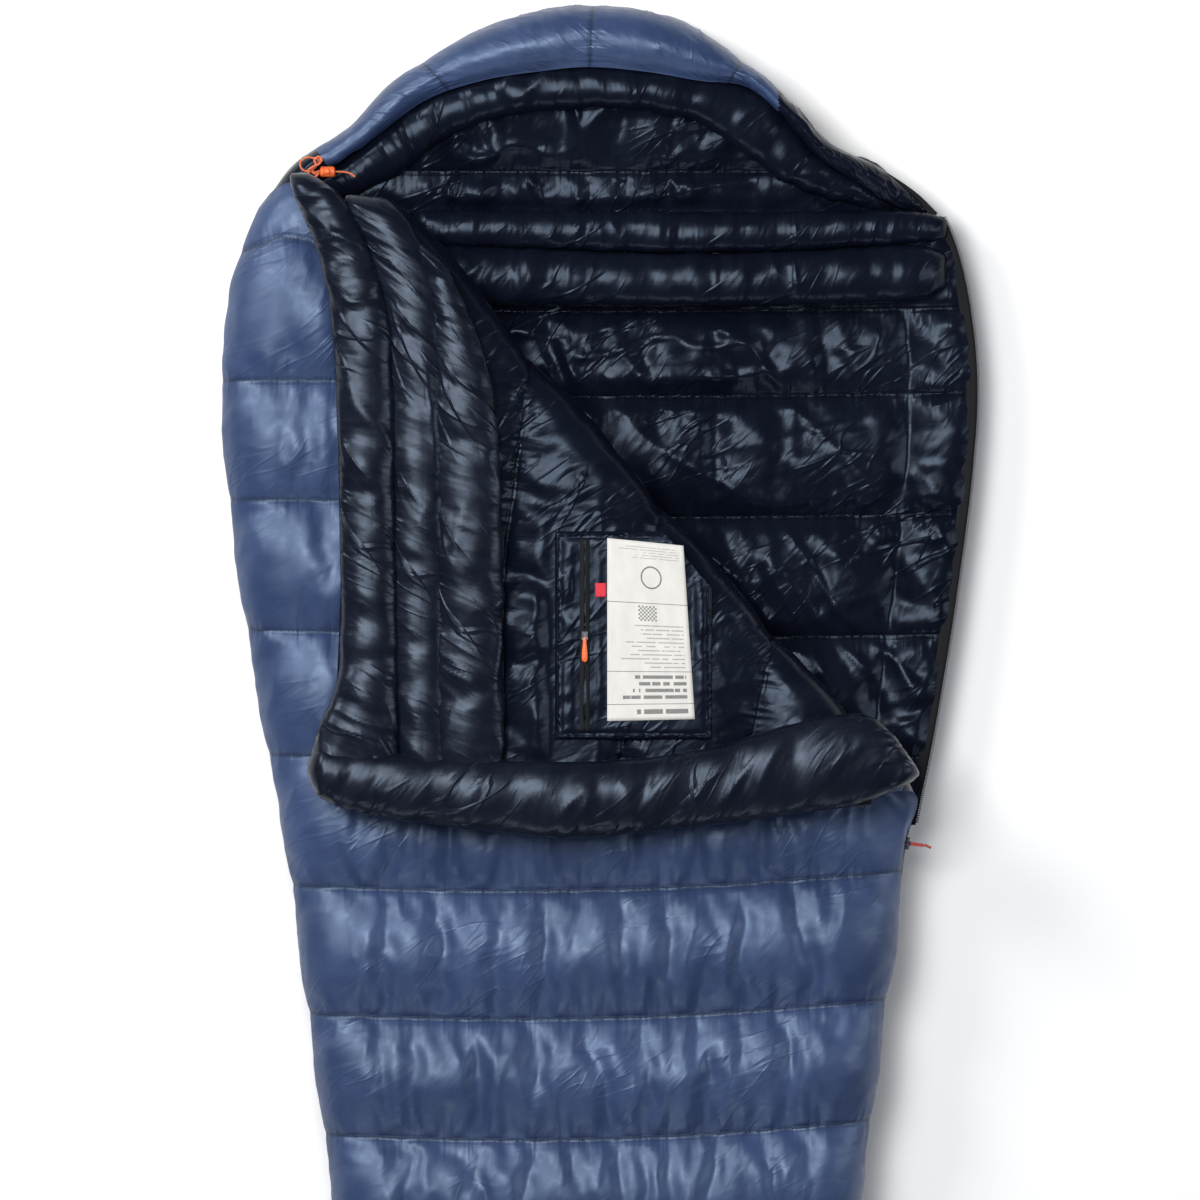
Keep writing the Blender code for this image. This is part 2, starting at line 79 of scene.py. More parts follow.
# The front bends down over the last SIDE_WRAP of its width, by SIDE_DROP, and takes
# SIDE_EXTRA more cloth for it.
SIDE_WRAP, SIDE_DROP, SIDE_EXTRA = 0.050, 0.0365, 0.0184
# How far the neck edge of the front reaches past the straight line, along its width.
NECK_LIFT = ((-0.365, 0.014), (-0.330, 0.034), (-0.305, 0.030), (-0.270, 0.010), (-0.235, 0.018),
             (-0.190, 0.055), (-0.130, 0.070), (0.054, 0.031), (0.300, 0.010),
             (0.365, 0.016))

FOLD_TOP = np.array((-0.190, 0.835))
FOLD_ALONG = np.array((0.6614, -0.7500))
FOLD_OUT = np.array((0.7500, 0.6614))
FOLD_Z = 0.127
FOLD_RADIUS = FOLD_Z - FRONT_MIDDLE
FOLD_START = -math.pi * FOLD_RADIUS / 2

BACK_WRAP, BACK_ARC = 0.060, 0.088
BACK_BOTTOM, BACK_FLOOR = 0.012, 0.034
LOWEST = 0.0006  # the fabric stays this far above the ground

ZIP_TOP = Vector((0.3305, 0.195, 0.0))
ZIP_END = Vector((0.205, -0.750, 0.0))
ZIP_Z = 0.0677
OPEN_ZIP_Z = 0.0509
FLAP_ZIP_Z = 0.0845  # before the flap is folded
POCKET_TOP = 0.1710


# ---------------------------------------------------------------- numbers

def smooth(low, high, value):
    t = np.clip((value - low) / (high - low), 0.0, 1.0)
    return t * t * (3.0 - 2.0 * t)


def table(pairs, value):
    """Linear interpolation in pairs whose first values rise."""
    keys, values = zip(*pairs)
    return np.interp(value, keys, values)


_outline_y = np.linspace(-1.0, 0.93, 387)
_outline_half = np.mean([table(OUTLINE, _outline_y + shift) for shift in
                         np.linspace(-OUTLINE_ROUNDING, OUTLINE_ROUNDING, 9)], axis=0)


def half_width(y):
    return np.interp(y, _outline_y, _outline_half)


def value_noise(x, y, size, seed):
    """Smooth noise from -1 to 1 whose features are about size across."""
    lattice = np.random.default_rng(seed).uniform(-1, 1, (256, 256))
    u, v = x / size + 1000.3, y / size + 1000.7
    i, j = np.floor(u).astype(int), np.floor(v).astype(int)
    fu, fv = smooth(0, 1, u - i), smooth(0, 1, v - j)
    low = lattice[i % 256, j % 256] * (1 - fu) + lattice[(i + 1) % 256, j % 256] * fu
    high = lattice[i % 256, (j + 1) % 256] * (1 - fu) + lattice[(i + 1) % 256, (j + 1) % 256] * fu
    return low * (1 - fv) + high * fv


def creases(x, y, angle, length, width, seed):
    """Sharp-topped folds from 0 to 1 that run along an angle in degrees, in wandering lines."""
    turn = math.radians(angle)
    along = x * math.cos(turn) + y * math.sin(turn)
    across = y * math.cos(turn) - x * math.sin(turn)
    across = across + 0.8 * width * value_noise(along, across, length * 0.8, seed + 1)
    ridge = 1.0 - np.abs(value_noise(along * width / length, across, width, seed))
    patch = smooth(-0.35, 0.55, value_noise(x, y, length * 0.9, seed + 2))
    return ridge ** 3 * patch


def refine(grid):
    """Puts a row between every two rows and a column between every two columns."""
    for axis in (0, 1):
        grid = np.moveaxis(grid, axis, 0)
        padded = np.concatenate([2 * grid[:1] - grid[1:2], grid, 2 * grid[-1:] - grid[-2:-1]])
        between = (9 * (padded[1:-2] + padded[2:-1]) - padded[:-3] - padded[3:]) / 16
        fine = np.empty((2 * len(grid) - 1, *grid.shape[1:]))
        fine[0::2], fine[1::2] = grid, between
        grid = np.moveaxis(fine, 0, axis)
    return grid


def curve_points(points, count):
    """A smooth curve through the points, at evenly spread parameters."""
    p = np.array(points, float)
    p = np.concatenate([2 * p[:1] - p[1:2], p, 2 * p[-1:] - p[-2:-1]])
    t = np.linspace(0, len(points) - 1, count)
    i = np.minimum(t.astype(int), len(points) - 2)
    f = (t - i)[:, None]
    a, b, c, d = p[i], p[i + 1], p[i + 2], p[i + 3]
    return (b * 2 + (c - a) * f + (a * 2 - b * 5 + c * 4 - d) * f ** 2
            + (b * 3 - a - c * 3 + d) * f ** 3) / 2


def soft_limit(value, top, softness=0.002):
    """value, held below top by a rounded corner."""
    return top - softness * np.logaddexp(0.0, (top - value) / softness)


def bulged(value, power):
    """value to a power, with its sign kept."""
    return np.sign(value) * np.abs(value) ** power


def run_length(points):
    """The distance of each point from the first, along the line through them."""
    return np.concatenate([[0.0], np.cumsum(np.linalg.norm(np.diff(points, axis=0), axis=1))])


def border_pins(shape):
    pinned = np.zeros(shape, bool)
    pinned[:, 0] = pinned[:, -1] = pinned[0] = pinned[-1] = True
    return pinned


def edge_distance(x, y):
    return np.minimum(np.minimum(x - x.min(), x.max() - x), np.minimum(y - y.min(), y.max() - y))


def rounded(value):
    """A quarter circle: 0 at 0, 1 from 1 on."""
    return np.sqrt(1 - (1 - np.clip(value, 0.0, 1.0)) ** 2)


def grid_normals(points):
    along = np.gradient(points, axis=1)
    up = np.gradient(points, axis=0)
    normal = np.cross(along, up)
    return normal / np.maximum(np.linalg.norm(normal, axis=-1, keepdims=True), 1e-12)


# ---------------------------------------------------------------- cloth

def linked(name, data):
    """A new object in the scene."""
    obj = bpy.data.objects.new(name, data)
    bpy.context.scene.collection.objects.link(obj)
    return obj


def simulate(x, y, pinned, seed, pressure=8.0, spare=0.055, frames=24):
    """Puffs a flat grid of cloth up between its pinned points. Gives its (x, y, height)."""
    rows, columns = x.shape
    free = ~pinned
    start = np.random.default_rng(seed).uniform(-0.0006, 0.0006, x.shape) + 0.0005
    points = np.stack([x, y, start * free], -1).reshape(-1, 3)
    index = np.arange(rows * columns).reshape(rows, columns)
    mesh = bpy.data.meshes.new("cloth")
    mesh.from_pydata(points.tolist(), [], quads(index).tolist())
    cloth = linked("cloth", mesh)
    scene = bpy.context.scene
    group = cloth.vertex_groups.new(name="pin")
    group.add(np.nonzero(pinned.ravel())[0].tolist(), 1.0, "REPLACE")
    modifier = cloth.modifiers.new("Cloth", "CLOTH")
    settings = modifier.settings
    settings.quality = 5
    settings.mass = 0.002
    settings.tension_stiffness = settings.compression_stiffness = 10
    settings.shear_stiffness = 5
    settings.bending_stiffness = 0.05
    settings.tension_damping = settings.compression_damping = 0.1
    settings.shear_damping = settings.bending_damping = 0.1
    settings.air_damping = 0.2
    settings.vertex_group_mass = "pin"
    settings.use_pressure = True
    settings.uniform_pressure_force = pressure
    settings.shrink_min = -spare
    settings.effector_weights.gravity = 0
    modifier.collision_settings.use_collision = False
    modifier.collision_settings.use_self_collision = False
    modifier.point_cache.frame_start, modifier.point_cache.frame_end = 1, frames + 2
    scene.frame_start, scene.frame_end = 1, frames + 2
    for number in range(1, frames + 1):
        scene.frame_set(number)
    shaped = cloth.evaluated_get(bpy.context.evaluated_depsgraph_get()).to_mesh()
    result = np.empty(rows * columns * 3, np.float32)
    shaped.vertices.foreach_get("co", result)
    scene.frame_set(1)
    bpy.data.objects.remove(cloth, do_unlink=True)
    bpy.data.meshes.remove(mesh)
    return result.reshape(rows, columns, 3).astype(float)


def puffed(x, y, pinned, seed, calm=2, **settings):
    """simulate() with its smallest wrinkles eased."""
    cloth = simulate(x, y, pinned, seed, **settings)
    for _ in range(calm):
        inner = cloth[1:-1, 1:-1]
        near = (cloth[:-2, 1:-1] + cloth[2:, 1:-1] + cloth[1:-1, :-2] + cloth[1:-1, 2:]) / 4
        eased = cloth.copy()
        eased[1:-1, 1:-1] = inner * 0.4 + near * 0.6
        cloth = np.where(pinned[..., None], cloth, eased)
    return cloth


# ---------------------------------------------------------------- meshes

def quads(index):
    return np.stack([index[:-1, :-1], index[:-1, 1:], index[1:, 1:], index[1:, :-1]],
                    -1).reshape(-1, 4)


def make_object(name, points, faces, materials, material_index=None, uv=None, seam=None,
                normals=None):
    """A smooth mesh object. uv is the flat place of each point, seam its place by the seams."""
    mesh = bpy.data.meshes.new(name)
    mesh.from_pydata(np.asarray(points).tolist(), [], [list(map(int, f)) for f in faces])
    for material in materials:
        mesh.materials.append(finishes[material])
    if material_index is not None:
        mesh.polygons.foreach_set("material_index", np.asarray(material_index, np.int32))
    corner = np.empty(len(mesh.loops), np.int32)
    mesh.loops.foreach_get("vertex_index", corner)
    for layer, values in (("fabric", uv), ("seam", seam)):
        if values is not None:
            mesh.uv_layers.new(name=layer).data.foreach_set(
                "uv", np.asarray(values, np.float32).reshape(-1, 2)[corner].ravel())
    mesh.shade_smooth()
    mesh.validate()
    if normals is not None:
        mesh.normals_split_custom_set_from_vertices(np.asarray(normals).tolist())
    return linked(name, mesh)


def stand_in(obj, body, *nodes):
    """Puts a visual piece on its body, in place of its CAD nodes."""
    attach(obj, body)
    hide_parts(*nodes)


def sewn(name, upper, lower, materials, uv, seam):
    """A closed piece of two skins, given as grids, joined round their border."""
    rows, columns = upper.shape[:2]
    count = rows * columns
    index = np.arange(count).reshape(rows, columns)
    border = np.concatenate([index[0], index[1:, -1], index[-1, -2::-1], index[-2:0:-1, 0]])
    following = np.roll(border, -1)
    rim = np.stack([border, border + count, following + count, following], -1)
    top, bottom = quads(index), quads(index + count)[:, ::-1]
    faces = np.concatenate([top, bottom, rim])
    slots = np.concatenate([np.zeros(len(top)), np.ones(len(bottom)), np.zeros(len(rim))])
    points = np.concatenate([upper.reshape(-1, 3), lower.reshape(-1, 3)])
    return {"name": name, "points": points, "faces": faces, "slots": slots,
            "materials": materials, "uv": np.concatenate([uv[0].reshape(-1, 2),
                                                          uv[1].reshape(-1, 2)]),
            "seam": np.concatenate([seam[0].reshape(-1, 2), seam[1].reshape(-1, 2)])}


def object_of(piece, keep=None, name=None, normals=None):
    """The object of a sewn() piece, or of some of its faces."""
    faces, slots = piece["faces"], piece["slots"]
    points, uv, seam = piece["points"], piece["uv"], piece["seam"]
    if keep is not None:
        faces, slots = faces[keep], slots[keep]
        used, faces = np.unique(faces, return_inverse=True)
        faces = faces.reshape(-1, 4)
        points, uv, seam = points[used], uv[used], seam[used]
        normals = normals[used]
    return make_object(name or piece["name"], points, faces, piece["materials"], slots, uv,
                       seam, normals)


def point_normals(points, faces):
    corners = points[faces]
    normal = np.cross(corners[:, 2] - corners[:, 0], corners[:, 3] - corners[:, 1])
    total = np.zeros_like(points)
    for k in range(4):
        np.add.at(total, faces[:, k], normal)
    return total / np.maximum(np.linalg.norm(total, axis=1, keepdims=True), 1e-12)


# ---------------------------------------------------------------- the bag's own rows

def front_rows():
    """Places along the bag for the rows of its grids, with one on every seam of the front."""
    rows = [FRONT_SEAMS[0]]
    for low, high in zip(FRONT_SEAMS, FRONT_SEAMS[1:]):
        cell = CELL_COARSE if high < COARSE_BELOW else CELL_FINE
        count = max(2, round((high - low) / cell))
        rows += list(low + (high - low) * np.arange(1, count + 1) / count)
    return np.array(rows)


ROWS = front_rows()
SIDES = np.linspace(-1.0, 1.0, COLUMNS)


def nearest_row(value):
    return int(np.argmin(np.abs(ROWS - value)))


def zip_side_wrap(y):
    """How far the front bends down at the zip side: fully where the zip is closed."""
    return 1.0 - 0.75 * smooth(0.13, 0.25, y)


def wrap_of(x, y):
    return np.where(x < 0, 1.0, zip_side_wrap(y))


def flat_half(x, y):
    return half_width(y) - SIDE_INSET + SIDE_EXTRA * wrap_of(x, y)


def front_grid():
    """The flat places of the front's grid: its rows sag across the bag."""
    s, v = np.meshgrid(SIDES, ROWS)
    slack = 1.0 - smooth(0.30, 0.80, v)
    y = v + (0.008 * s - 0.014 * (1 - s ** 2)) * slack
    y = y + smooth(0.68, 0.85, v) * table(NECK_LIFT, s * half_width(y))
    return s * flat_half(s, y), y


def pins(rows):
    pinned = border_pins((len(ROWS), COLUMNS))
    for value in rows:
        pinned[nearest_row(value)] = True
    return pinned


def seam_places(x, seams):
    """For each point of a bag grid, its place along the nearest seam and its distance from it."""
    rows = refine(np.repeat(ROWS[:, None], COLUMNS, 1))
    marks = np.array([ROWS[nearest_row(value)] for value in seams])
    distance = np.min(np.abs(rows[..., None] - marks), axis=-1)
    return np.stack([x, distance], -1)


def edge_fade():
    """0 at the border of the bag's fine grid, 1 a little way in."""
    rows = refine(np.repeat(ROWS[:, None], COLUMNS, 1))
    sides = refine(np.repeat(SIDES[None], len(ROWS), 0))
    inside = (1 - np.abs(sides)) * 0.38
    ends = np.minimum(rows - ROWS[0], ROWS[-1] - rows)
    return smooth(0.0, 0.018, np.minimum(inside, ends))


def wrapped(x, y, w, middle, wrap, drop, reach, half):
    """Bends a flat skin down at its sides. w is the distance out from the middle surface."""
    side = np.where(x < 0, -1.0, 1.0)
    inset = np.where(x < 0, LEFT_INSET, SIDE_INSET)
    start = half_width(y) - inset - reach
    u = np.clip((np.abs(x) - start) / (half - start), 0.0, 1.05)
    turn = u * math.pi / 2
    over = np.where(u > 0, reach * ((1 - wrap) * u + wrap * np.sin(turn)), 0.0)
    across = np.minimum(np.abs(x), start) + over + w * wrap * np.sin(turn)
    z = middle - drop * wrap * (1 - np.cos(turn)) + w * (1 - wrap + wrap * np.cos(turn))
    return np.stack([side * across, y, z], -1)


def fold_distance(x, y):
    return (x - FOLD_TOP[0]) * FOLD_OUT[0] + (y - FOLD_TOP[1]) * FOLD_OUT[1]


def folded(points):
    """Lays what is past the fold back over the front. The lining ends up on top."""
    x, y, z = points[..., 0], points[..., 1], points[..., 2]
    out = fold_distance(x, y)
    along = (x - FOLD_TOP[0]) * FOLD_ALONG[0] + (y - FOLD_TOP[1]) * FOLD_ALONG[1]
    radius = FOLD_Z - z
    turn = np.clip((out - FOLD_START) / FOLD_RADIUS, 0.0, math.pi)
    past = np.maximum(out - FOLD_START - math.pi * FOLD_RADIUS, 0.0)
    new_out = np.where(out < FOLD_START, out, FOLD_START + radius * np.sin(turn) - past)
    new_z = np.where(out < FOLD_START, z, FOLD_Z - radius * np.cos(turn))
    return np.stack([FOLD_TOP[0] + along * FOLD_ALONG[0] + new_out * FOLD_OUT[0],
                     FOLD_TOP[1] + along * FOLD_ALONG[1] + new_out * FOLD_OUT[1], new_z], -1)


# ---------------------------------------------------------------- front and flap

def front_middle(x, y, w):
    """Places of a skin of the front that is w out from its middle: wrapped, then folded."""
    return folded(wrapped(x, y, w, FRONT_MIDDLE, wrap_of(x, y), SIDE_DROP, SIDE_WRAP,
                          flat_half(x, y)))


def front_outside(cloth, fade):
    """The shell side of the front: its places, flat places and seam places."""
    x, y, h = np.moveaxis(cloth, -1, 0)
    out = fold_distance(x, y)
    rises = h * (0.30 + 0.70 * smooth(0.03, 0.10, np.abs(out - FOLD_START / 2)))
    side = np.abs(x) / flat_half(x, y)
    rises = rises * (1.0 + 0.32 * smooth(0.24, 0.14, y)) * (1 - 0.62 * smooth(0.74, 0.97, side))
    rises = np.where(out > FOLD_START, soft_limit(rises + FRONT_SKIN, 0.0165) - FRONT_SKIN, rises)
    rises += 0.0016 * fade * creases(x, y, 78, 0.060, 0.013, 21) * smooth(0.0, 0.006, rises)
    seam, short = seam_places(x, FRONT_SEAMS), seam_places(x, (SHOULDER_SEAM,))
    on_short = (x < -0.5 * flat_half(x, y))[..., None] & (short < seam)[..., 1:]
    return (front_middle(x, y, fade * FRONT_SKIN + rises), np.stack([x, y], -1),
            np.where(on_short, short, seam))


def front_inside(cloth, fade):
    """The lining side, held down where tubes and the pocket lie on the flap."""
    x, y, h = np.moveaxis(cloth, -1, 0)
    out = fold_distance(x, y)
    flap = smooth(0.0, 0.05, out)
    h = h + fade * flap * (0.0070 * creases(x, y, -48, 0.16, 0.034, 31)
                           + 0.0045 * creases(x, y, 20, 0.09, 0.020, 34))
    h = h * (1 - 0.55 * smooth(0.12, 0.0, np.abs(out)))
    w = fade * LINING_SKIN + h
    flat = covered_by_bands(front_middle(x, y, -w))
    w = np.where(out > 0, w * (1 - flat) + flat * np.minimum(w, HELD_DOWN), w)
    return front_middle(x, y, -w), np.stack([x, y], -1), seam_places(x, FLAP_LINING_SEAMS)


def build_front():
    """One quilt for the whole front. It is divided under the fold, where the flap starts."""
    x, y = front_grid()
    pinned = pins(FRONT_SEAMS)
    pinned[nearest_row(SHOULDER_SEAM), SIDES < -0.5] = True
    shell = puffed(x, y, pinned, seed=11)
    upper = nearest_row(HIDDEN_BELOW)
    pinned = pins(FLAP_LINING_SEAMS)
    lining = shell.copy()
    lining[upper:] = puffed(x[upper:], y[upper:], pinned[upper:], seed=12, spare=0.05, calm=2)

    fade = edge_fade()
    (front, uv_outer, seam_outer), (back, uv_inner, seam_inner) = (
        front_outside(refine(shell), fade), front_inside(refine(lining), fade))
    piece = sewn("front_quilt", front, back, ("shell", "lining"), (uv_outer, uv_inner),
                 (seam_outer, seam_inner))

    centre = piece["uv"][piece["faces"]].mean(axis=1)
    in_flap = fold_distance(centre[:, 0], centre[:, 1]) > FOLD_START
    place = piece["points"][piece["faces"]].mean(axis=1)
    low, high = TURNED_UP_X
    turned_up = in_flap & (place[:, 0] > low) & (place[:, 0] < high) & (place[:, 1] < TURNED_UP_Y)
    piece["slots"] = np.where(turned_up, 0, piece["slots"])
    normals = point_normals(piece["points"], piece["faces"])
    quilt = object_of(piece, ~in_flap, "front_quilt", normals)
    loose = object_of(piece, in_flap, "flap_quilt", normals)
    return quilt, loose, shell


def covered_by_bands(points):
    """1 where the tubes, the pocket and the draft tube lie on the flap's lining, 0 elsewhere."""
    x, y = points[..., 0], points[..., 1]
    under = smooth(-0.085, -0.110, x)
    pocket = smooth(-0.070, -0.050, x) * smooth(0.150, 0.125, x) * smooth(0.545, 0.525, y)
    draft = smooth(0.292, 0.272, y)
    return np.maximum(np.maximum(under, pocket), draft)


# ---------------------------------------------------------------- back

def side_seam_z(x, y):
    """Height of the edge of the back: level with the zip at its side, at mid height elsewhere."""
    closed = smooth(0.28, 0.16, y)
    return np.where(x < 0, 0.0675, OPEN_ZIP_Z + (0.0585 - OPEN_ZIP_Z) * closed)


def back_inset(x, y):
    """The back reaches its zip where that is open, and leaves room for it where it is closed."""
    open_side = np.where(x < 0, 0.9, smooth(0.16, 0.26, y))
    return SIDE_INSET - 0.0065 * open_side


def back_outside(shell, fade):
    """The shell side of the back, on the ground and up the sides. Its folds are the front's."""
    flat_x, flat_y = front_grid()
    moved = shell - np.stack([flat_x, flat_y, np.zeros_like(flat_x)], -1)
    share = refine((shell[..., 0] / flat_half(flat_x, flat_y))[:, ::-1] * -1.0)
    y = refine(ROWS[:, None] + moved[:, ::-1, 1])
    h = refine(shell[:, ::-1, 2])
    start = half_width(y) - back_inset(share, y) - BACK_WRAP
    u = np.clip((np.abs(share) * (start + BACK_ARC) - start) / BACK_ARC, 0.0, 1.05)
    turn = u * math.pi / 2
    w = fade * 0.003 + 0.85 * h
    across = np.minimum(np.abs(share) * (start + BACK_ARC), start) + BACK_WRAP * np.sin(turn)
    across = across + w * np.sin(turn) * 0.42
    edge = side_seam_z(share, y)
    z = BACK_BOTTOM + (edge - BACK_BOTTOM) * (1 - np.cos(turn)) - w * np.cos(turn)
    x = share * (start + BACK_ARC)
    return (np.stack([np.sign(share) * across, y, np.maximum(z, LOWEST)], -1),
            np.stack([x, y], -1), seam_places(x, FRONT_SEAMS))


def back_inside(shell, fade):
    """The lining of the back. Where the bag is closed it takes the height of the front's."""
    s, v = np.meshgrid(SIDES, ROWS)
    y = v - 0.004 * (1 - s ** 2)
    x = s * (half_width(y) - back_inset(s, y))
    upper = nearest_row(HIDDEN_BELOW)
    pinned = pins(BACK_LINING_SEAMS)
    side_column = int(np.argmin(np.abs(SIDES - INNER_SEAM_SIDE)))
    pinned[(ROWS > 0.18) & (ROWS < 0.758), side_column] = True
    lining = np.stack([x, y, np.zeros_like(x)], -1)
    lining[:upper, :, 2] = shell[:upper, :, 2]
    lining[upper:] = puffed(x[upper:], y[upper:], pinned[upper:], seed=13, spare=0.05, calm=2)
    x, y, h = np.moveaxis(refine(lining), -1, 0)
    side = np.abs(x) / (half_width(y) - back_inset(x, y))
    seam = seam_places(x, BACK_LINING_SEAMS)
    calm = fade * smooth(0.0, 0.022, seam[..., 1]) * (0.55 + 0.45 * smooth(0.62, 0.67, y))
    h = h + calm * (0.0130 * creases(x, y, -40, 0.20, 0.038, 41)
                    + 0.0070 * creases(x, y, -58, 0.14, 0.024, 45)
                    + 0.0040 * creases(x, y, 12, 0.10, 0.026, 48))
    rim = side_seam_z(x, y)
    z = BACK_FLOOR + (rim - BACK_FLOOR) * np.clip(side, 0, 1) ** 5 + fade * 0.002 + h * 0.95
    return np.stack([x, y, soft_limit(z, 0.0655, 0.004)], -1), np.stack([x, y], -1), seam


def build_back(shell):
    fade = edge_fade()
    (top, uv_inner, seam_inner), (bottom, uv_outer, seam_outer) = (
        back_inside(shell, fade), back_outside(shell, fade))
    return object_of(sewn("back_quilt", top, bottom, ("lining", "shell"), (uv_inner, uv_outer),
                          (seam_inner, seam_outer)))


# ---------------------------------------------------------------- tubes

ARCH = 1.25  # width of a tube's cloth over the width that it covers
TUBE_SKIN = 0.0008
TUBE_PUFF = 0.55  # how much of the puffed cloth's rise a tube keeps


def band(name, left, right, base, height, body, seed, across=15, along=110, under=0.0,
         spare=0.045, ends=(0.04, 0.04), fullness=0.62, material="lining", folds=0.0, slant=80):
    """A sewn tube between two lines, rounded above base. under is the angle it curls in below.

    spare is the share of extra cloth, folds the height of the drawn folds, which run at the
    angle slant, and ends the share of its length that each end takes to round off.
    """
    left, right = curve_points(left, along), curve_points(right, along)
    middle = (left + right) / 2
    length = run_length(middle)
    half = np.linalg.norm(right - left, axis=1) / 2
    u, flat_y = np.meshgrid(np.linspace(-1, 1, across), length)
    flat_x = u * half[:, None] * ARCH
    cloth = refine(puffed(flat_x, flat_y, border_pins(u.shape), seed, spare=spare, calm=3))
    x, y, h = np.moveaxis(cloth, -1, 0)
    wide = np.interp(y, length, half)
    u = np.clip(x / (wide * ARCH), -1.0, 1.0)
    share = y / length[-1]
    taper = rounded(share / ends[0]) * rounded((1 - share) / ends[1])
    turn = (u + 1) / 2 * (math.pi + 2 * under) - under
    out = TUBE_PUFF * h + (1 - u ** 2) * folds * (
        creases(x, y, slant, 0.11, 0.020, seed + 50)
        + 0.5 * creases(x, y, slant - 50, 0.06, 0.014, seed + 60))
    place = [np.interp(y, length, middle[:, k]) for k in range(middle.shape[1])]
    reach = [np.interp(y, length, (right - left)[:, k]) / (2 * wide) for k in range(2)]
    base = place[2] if middle.shape[1] > 2 else base
    round_x = -np.cos(turn) * (wide + out) * (0.50 + 0.50 * taper)
    lift = bulged(np.sin(turn), fullness)
    top = np.stack([place[0] + reach[0] * round_x, place[1] + reach[1] * round_x,
                    base + lift * (height + out * 0.8) * (0.06 + 0.94 * taper)], -1)
    low = np.stack([place[0] + reach[0] * round_x, place[1] + reach[1] * round_x,
                    np.minimum(base, top[..., 2]) - TUBE_SKIN * (1 + np.cos(u * math.pi / 2))],
                   -1)
    if under:
        low[..., 2] = top[..., 2].min(axis=1, keepdims=True) - 0.0005
    uv = np.stack([y, x], -1)
    seam = np.stack([y, wide * ARCH - np.abs(x)], -1)
    if grid_normals(top)[..., 2].mean() <= 0:
        top, low, uv, seam = (g[:, ::-1] for g in (top, low, uv, seam))
    obj = object_of(sewn(name, top, low, (material, material), (uv, uv), (seam, seam)))
    if body:
        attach(obj, body)
    return obj


FLAP_BASE = 0.1682  # height of the flap's lining where the tubes lie on it

ROLL_LEFT = ((-0.329, 0.888), (-0.312, 0.850), (-0.296, 0.813), (-0.283, 0.763), (-0.277, 0.700),
             (-0.273, 0.600), (-0.271, 0.500), (-0.270, 0.420), (-0.274, 0.356),
             (-0.294, 0.306), (-0.307, 0.262))
ROLL_RIGHT = ((-0.300, 0.890), (-0.268, 0.862), (-0.247, 0.826), (-0.232, 0.784),
              (-0.2180, 0.720), (-0.2140, 0.600), (-0.2130, 0.500), (-0.2120, 0.420),
              (-0.2110, 0.356), (-0.2090, 0.306), (-0.206, 0.258))
BAND_LEFT = ((-0.275, 0.868), (-0.252, 0.830), (-0.236, 0.787), (-0.2215, 0.720),
             (-0.2170, 0.600), (-0.2160, 0.500), (-0.2150, 0.400), (-0.2110, 0.325),
             (-0.209, 0.262))
BAND_RIGHT = ((-0.213, 0.862), (-0.186, 0.815), (-0.168, 0.770), (-0.1620, 0.700),
              (-0.1600, 0.600), (-0.1600, 0.500), (-0.1600, 0.400), (-0.1590, 0.325),
              (-0.158, 0.260))
TUBE_LEFT = ((-0.194, 0.822), (-0.184, 0.787), (-0.1770, 0.740), (-0.1740, 0.680),
             (-0.1725, 0.600), (-0.1725, 0.500), (-0.1720, 0.400), (-0.1705, 0.325),
             (-0.169, 0.262))
TUBE_RIGHT = ((-0.166, 0.802), (-0.149, 0.772), (-0.1300, 0.728), (-0.1130, 0.668),
              (-0.1055, 0.600), (-0.1020, 0.500), (-0.1015, 0.400), (-0.1010, 0.325),
              (-0.104, 0.262))
DRAFT_LOW = ((-0.306, 0.262), (-0.294, 0.240), (-0.2500, 0.2215), (-0.169, 0.2090),
             (-0.042, 0.1960), (0.040, 0.2010), (0.128, 0.2110), (0.200, 0.2205),
             (0.262, 0.2300), (0.322, 0.2500))
DRAFT_HIGH = ((-0.306, 0.276), (-0.290, 0.290), (-0.240, 0.2870), (-0.160, 0.2800),
              (-0.042, 0.2740), (0.050, 0.2790), (0.128, 0.2920), (0.205, 0.3140),
              (0.282, 0.3200), (0.337, 0.2640))


def build_flap_tubes():
    # The flap's tubes take "tube", the lining with painted light: lighter base colours than the
    # lining they are sewn from.
    roll = band("neck_edge_roll_soft", ROLL_LEFT, ROLL_RIGHT, FLAP_BASE, 0.0235, None, 61,
                material="tube", along=104, spare=0.055, folds=0.0045, ends=(0.05, 0.012),
                slant=72)
    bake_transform(roll)
    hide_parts("neck_edge_roll")
    flat = band("collar_band_soft", BAND_LEFT, BAND_RIGHT, FLAP_BASE, 0.0190, None, 62,
                material="tube", spare=0.03, folds=0.005, ends=(0.05, 0.012), slant=86)
    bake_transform(flat)
    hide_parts("collar_band")
    tube = band("collar_tube_soft", TUBE_LEFT, TUBE_RIGHT, FLAP_BASE, 0.0205, "flap", 63,
                material="tube", spare=0.055, folds=0.006, ends=(0.04, 0.012), slant=104)
    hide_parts("collar_tube")
    draft = band("zip_draft_tube_soft", DRAFT_LOW, DRAFT_HIGH, FLAP_BASE, 0.0270, "flap", 64,
                 material="tube", across=19, along=112, spare=0.05, folds=0.0035,
                 ends=(0.03, 0.03), slant=50)
    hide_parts("zip_draft_tube")


COLLAR_X = (-0.200, -0.120, -0.040, 0.040, 0.120, 0.200, 0.280, 0.330, 0.368)
COLLAR_LOW = (0.758, 0.757, 0.755, 0.754, 0.754, 0.755, 0.757, 0.760, 0.764)
COLLAR_SEAM = (0.8185, 0.8165, 0.8130, 0.8100, 0.8095, 0.8110, 0.8160, 0.8190, 0.8195)
COLLAR_HIGH = (0.856, 0.856, 0.855, 0.854, 0.854, 0.854, 0.855, 0.855, 0.852)


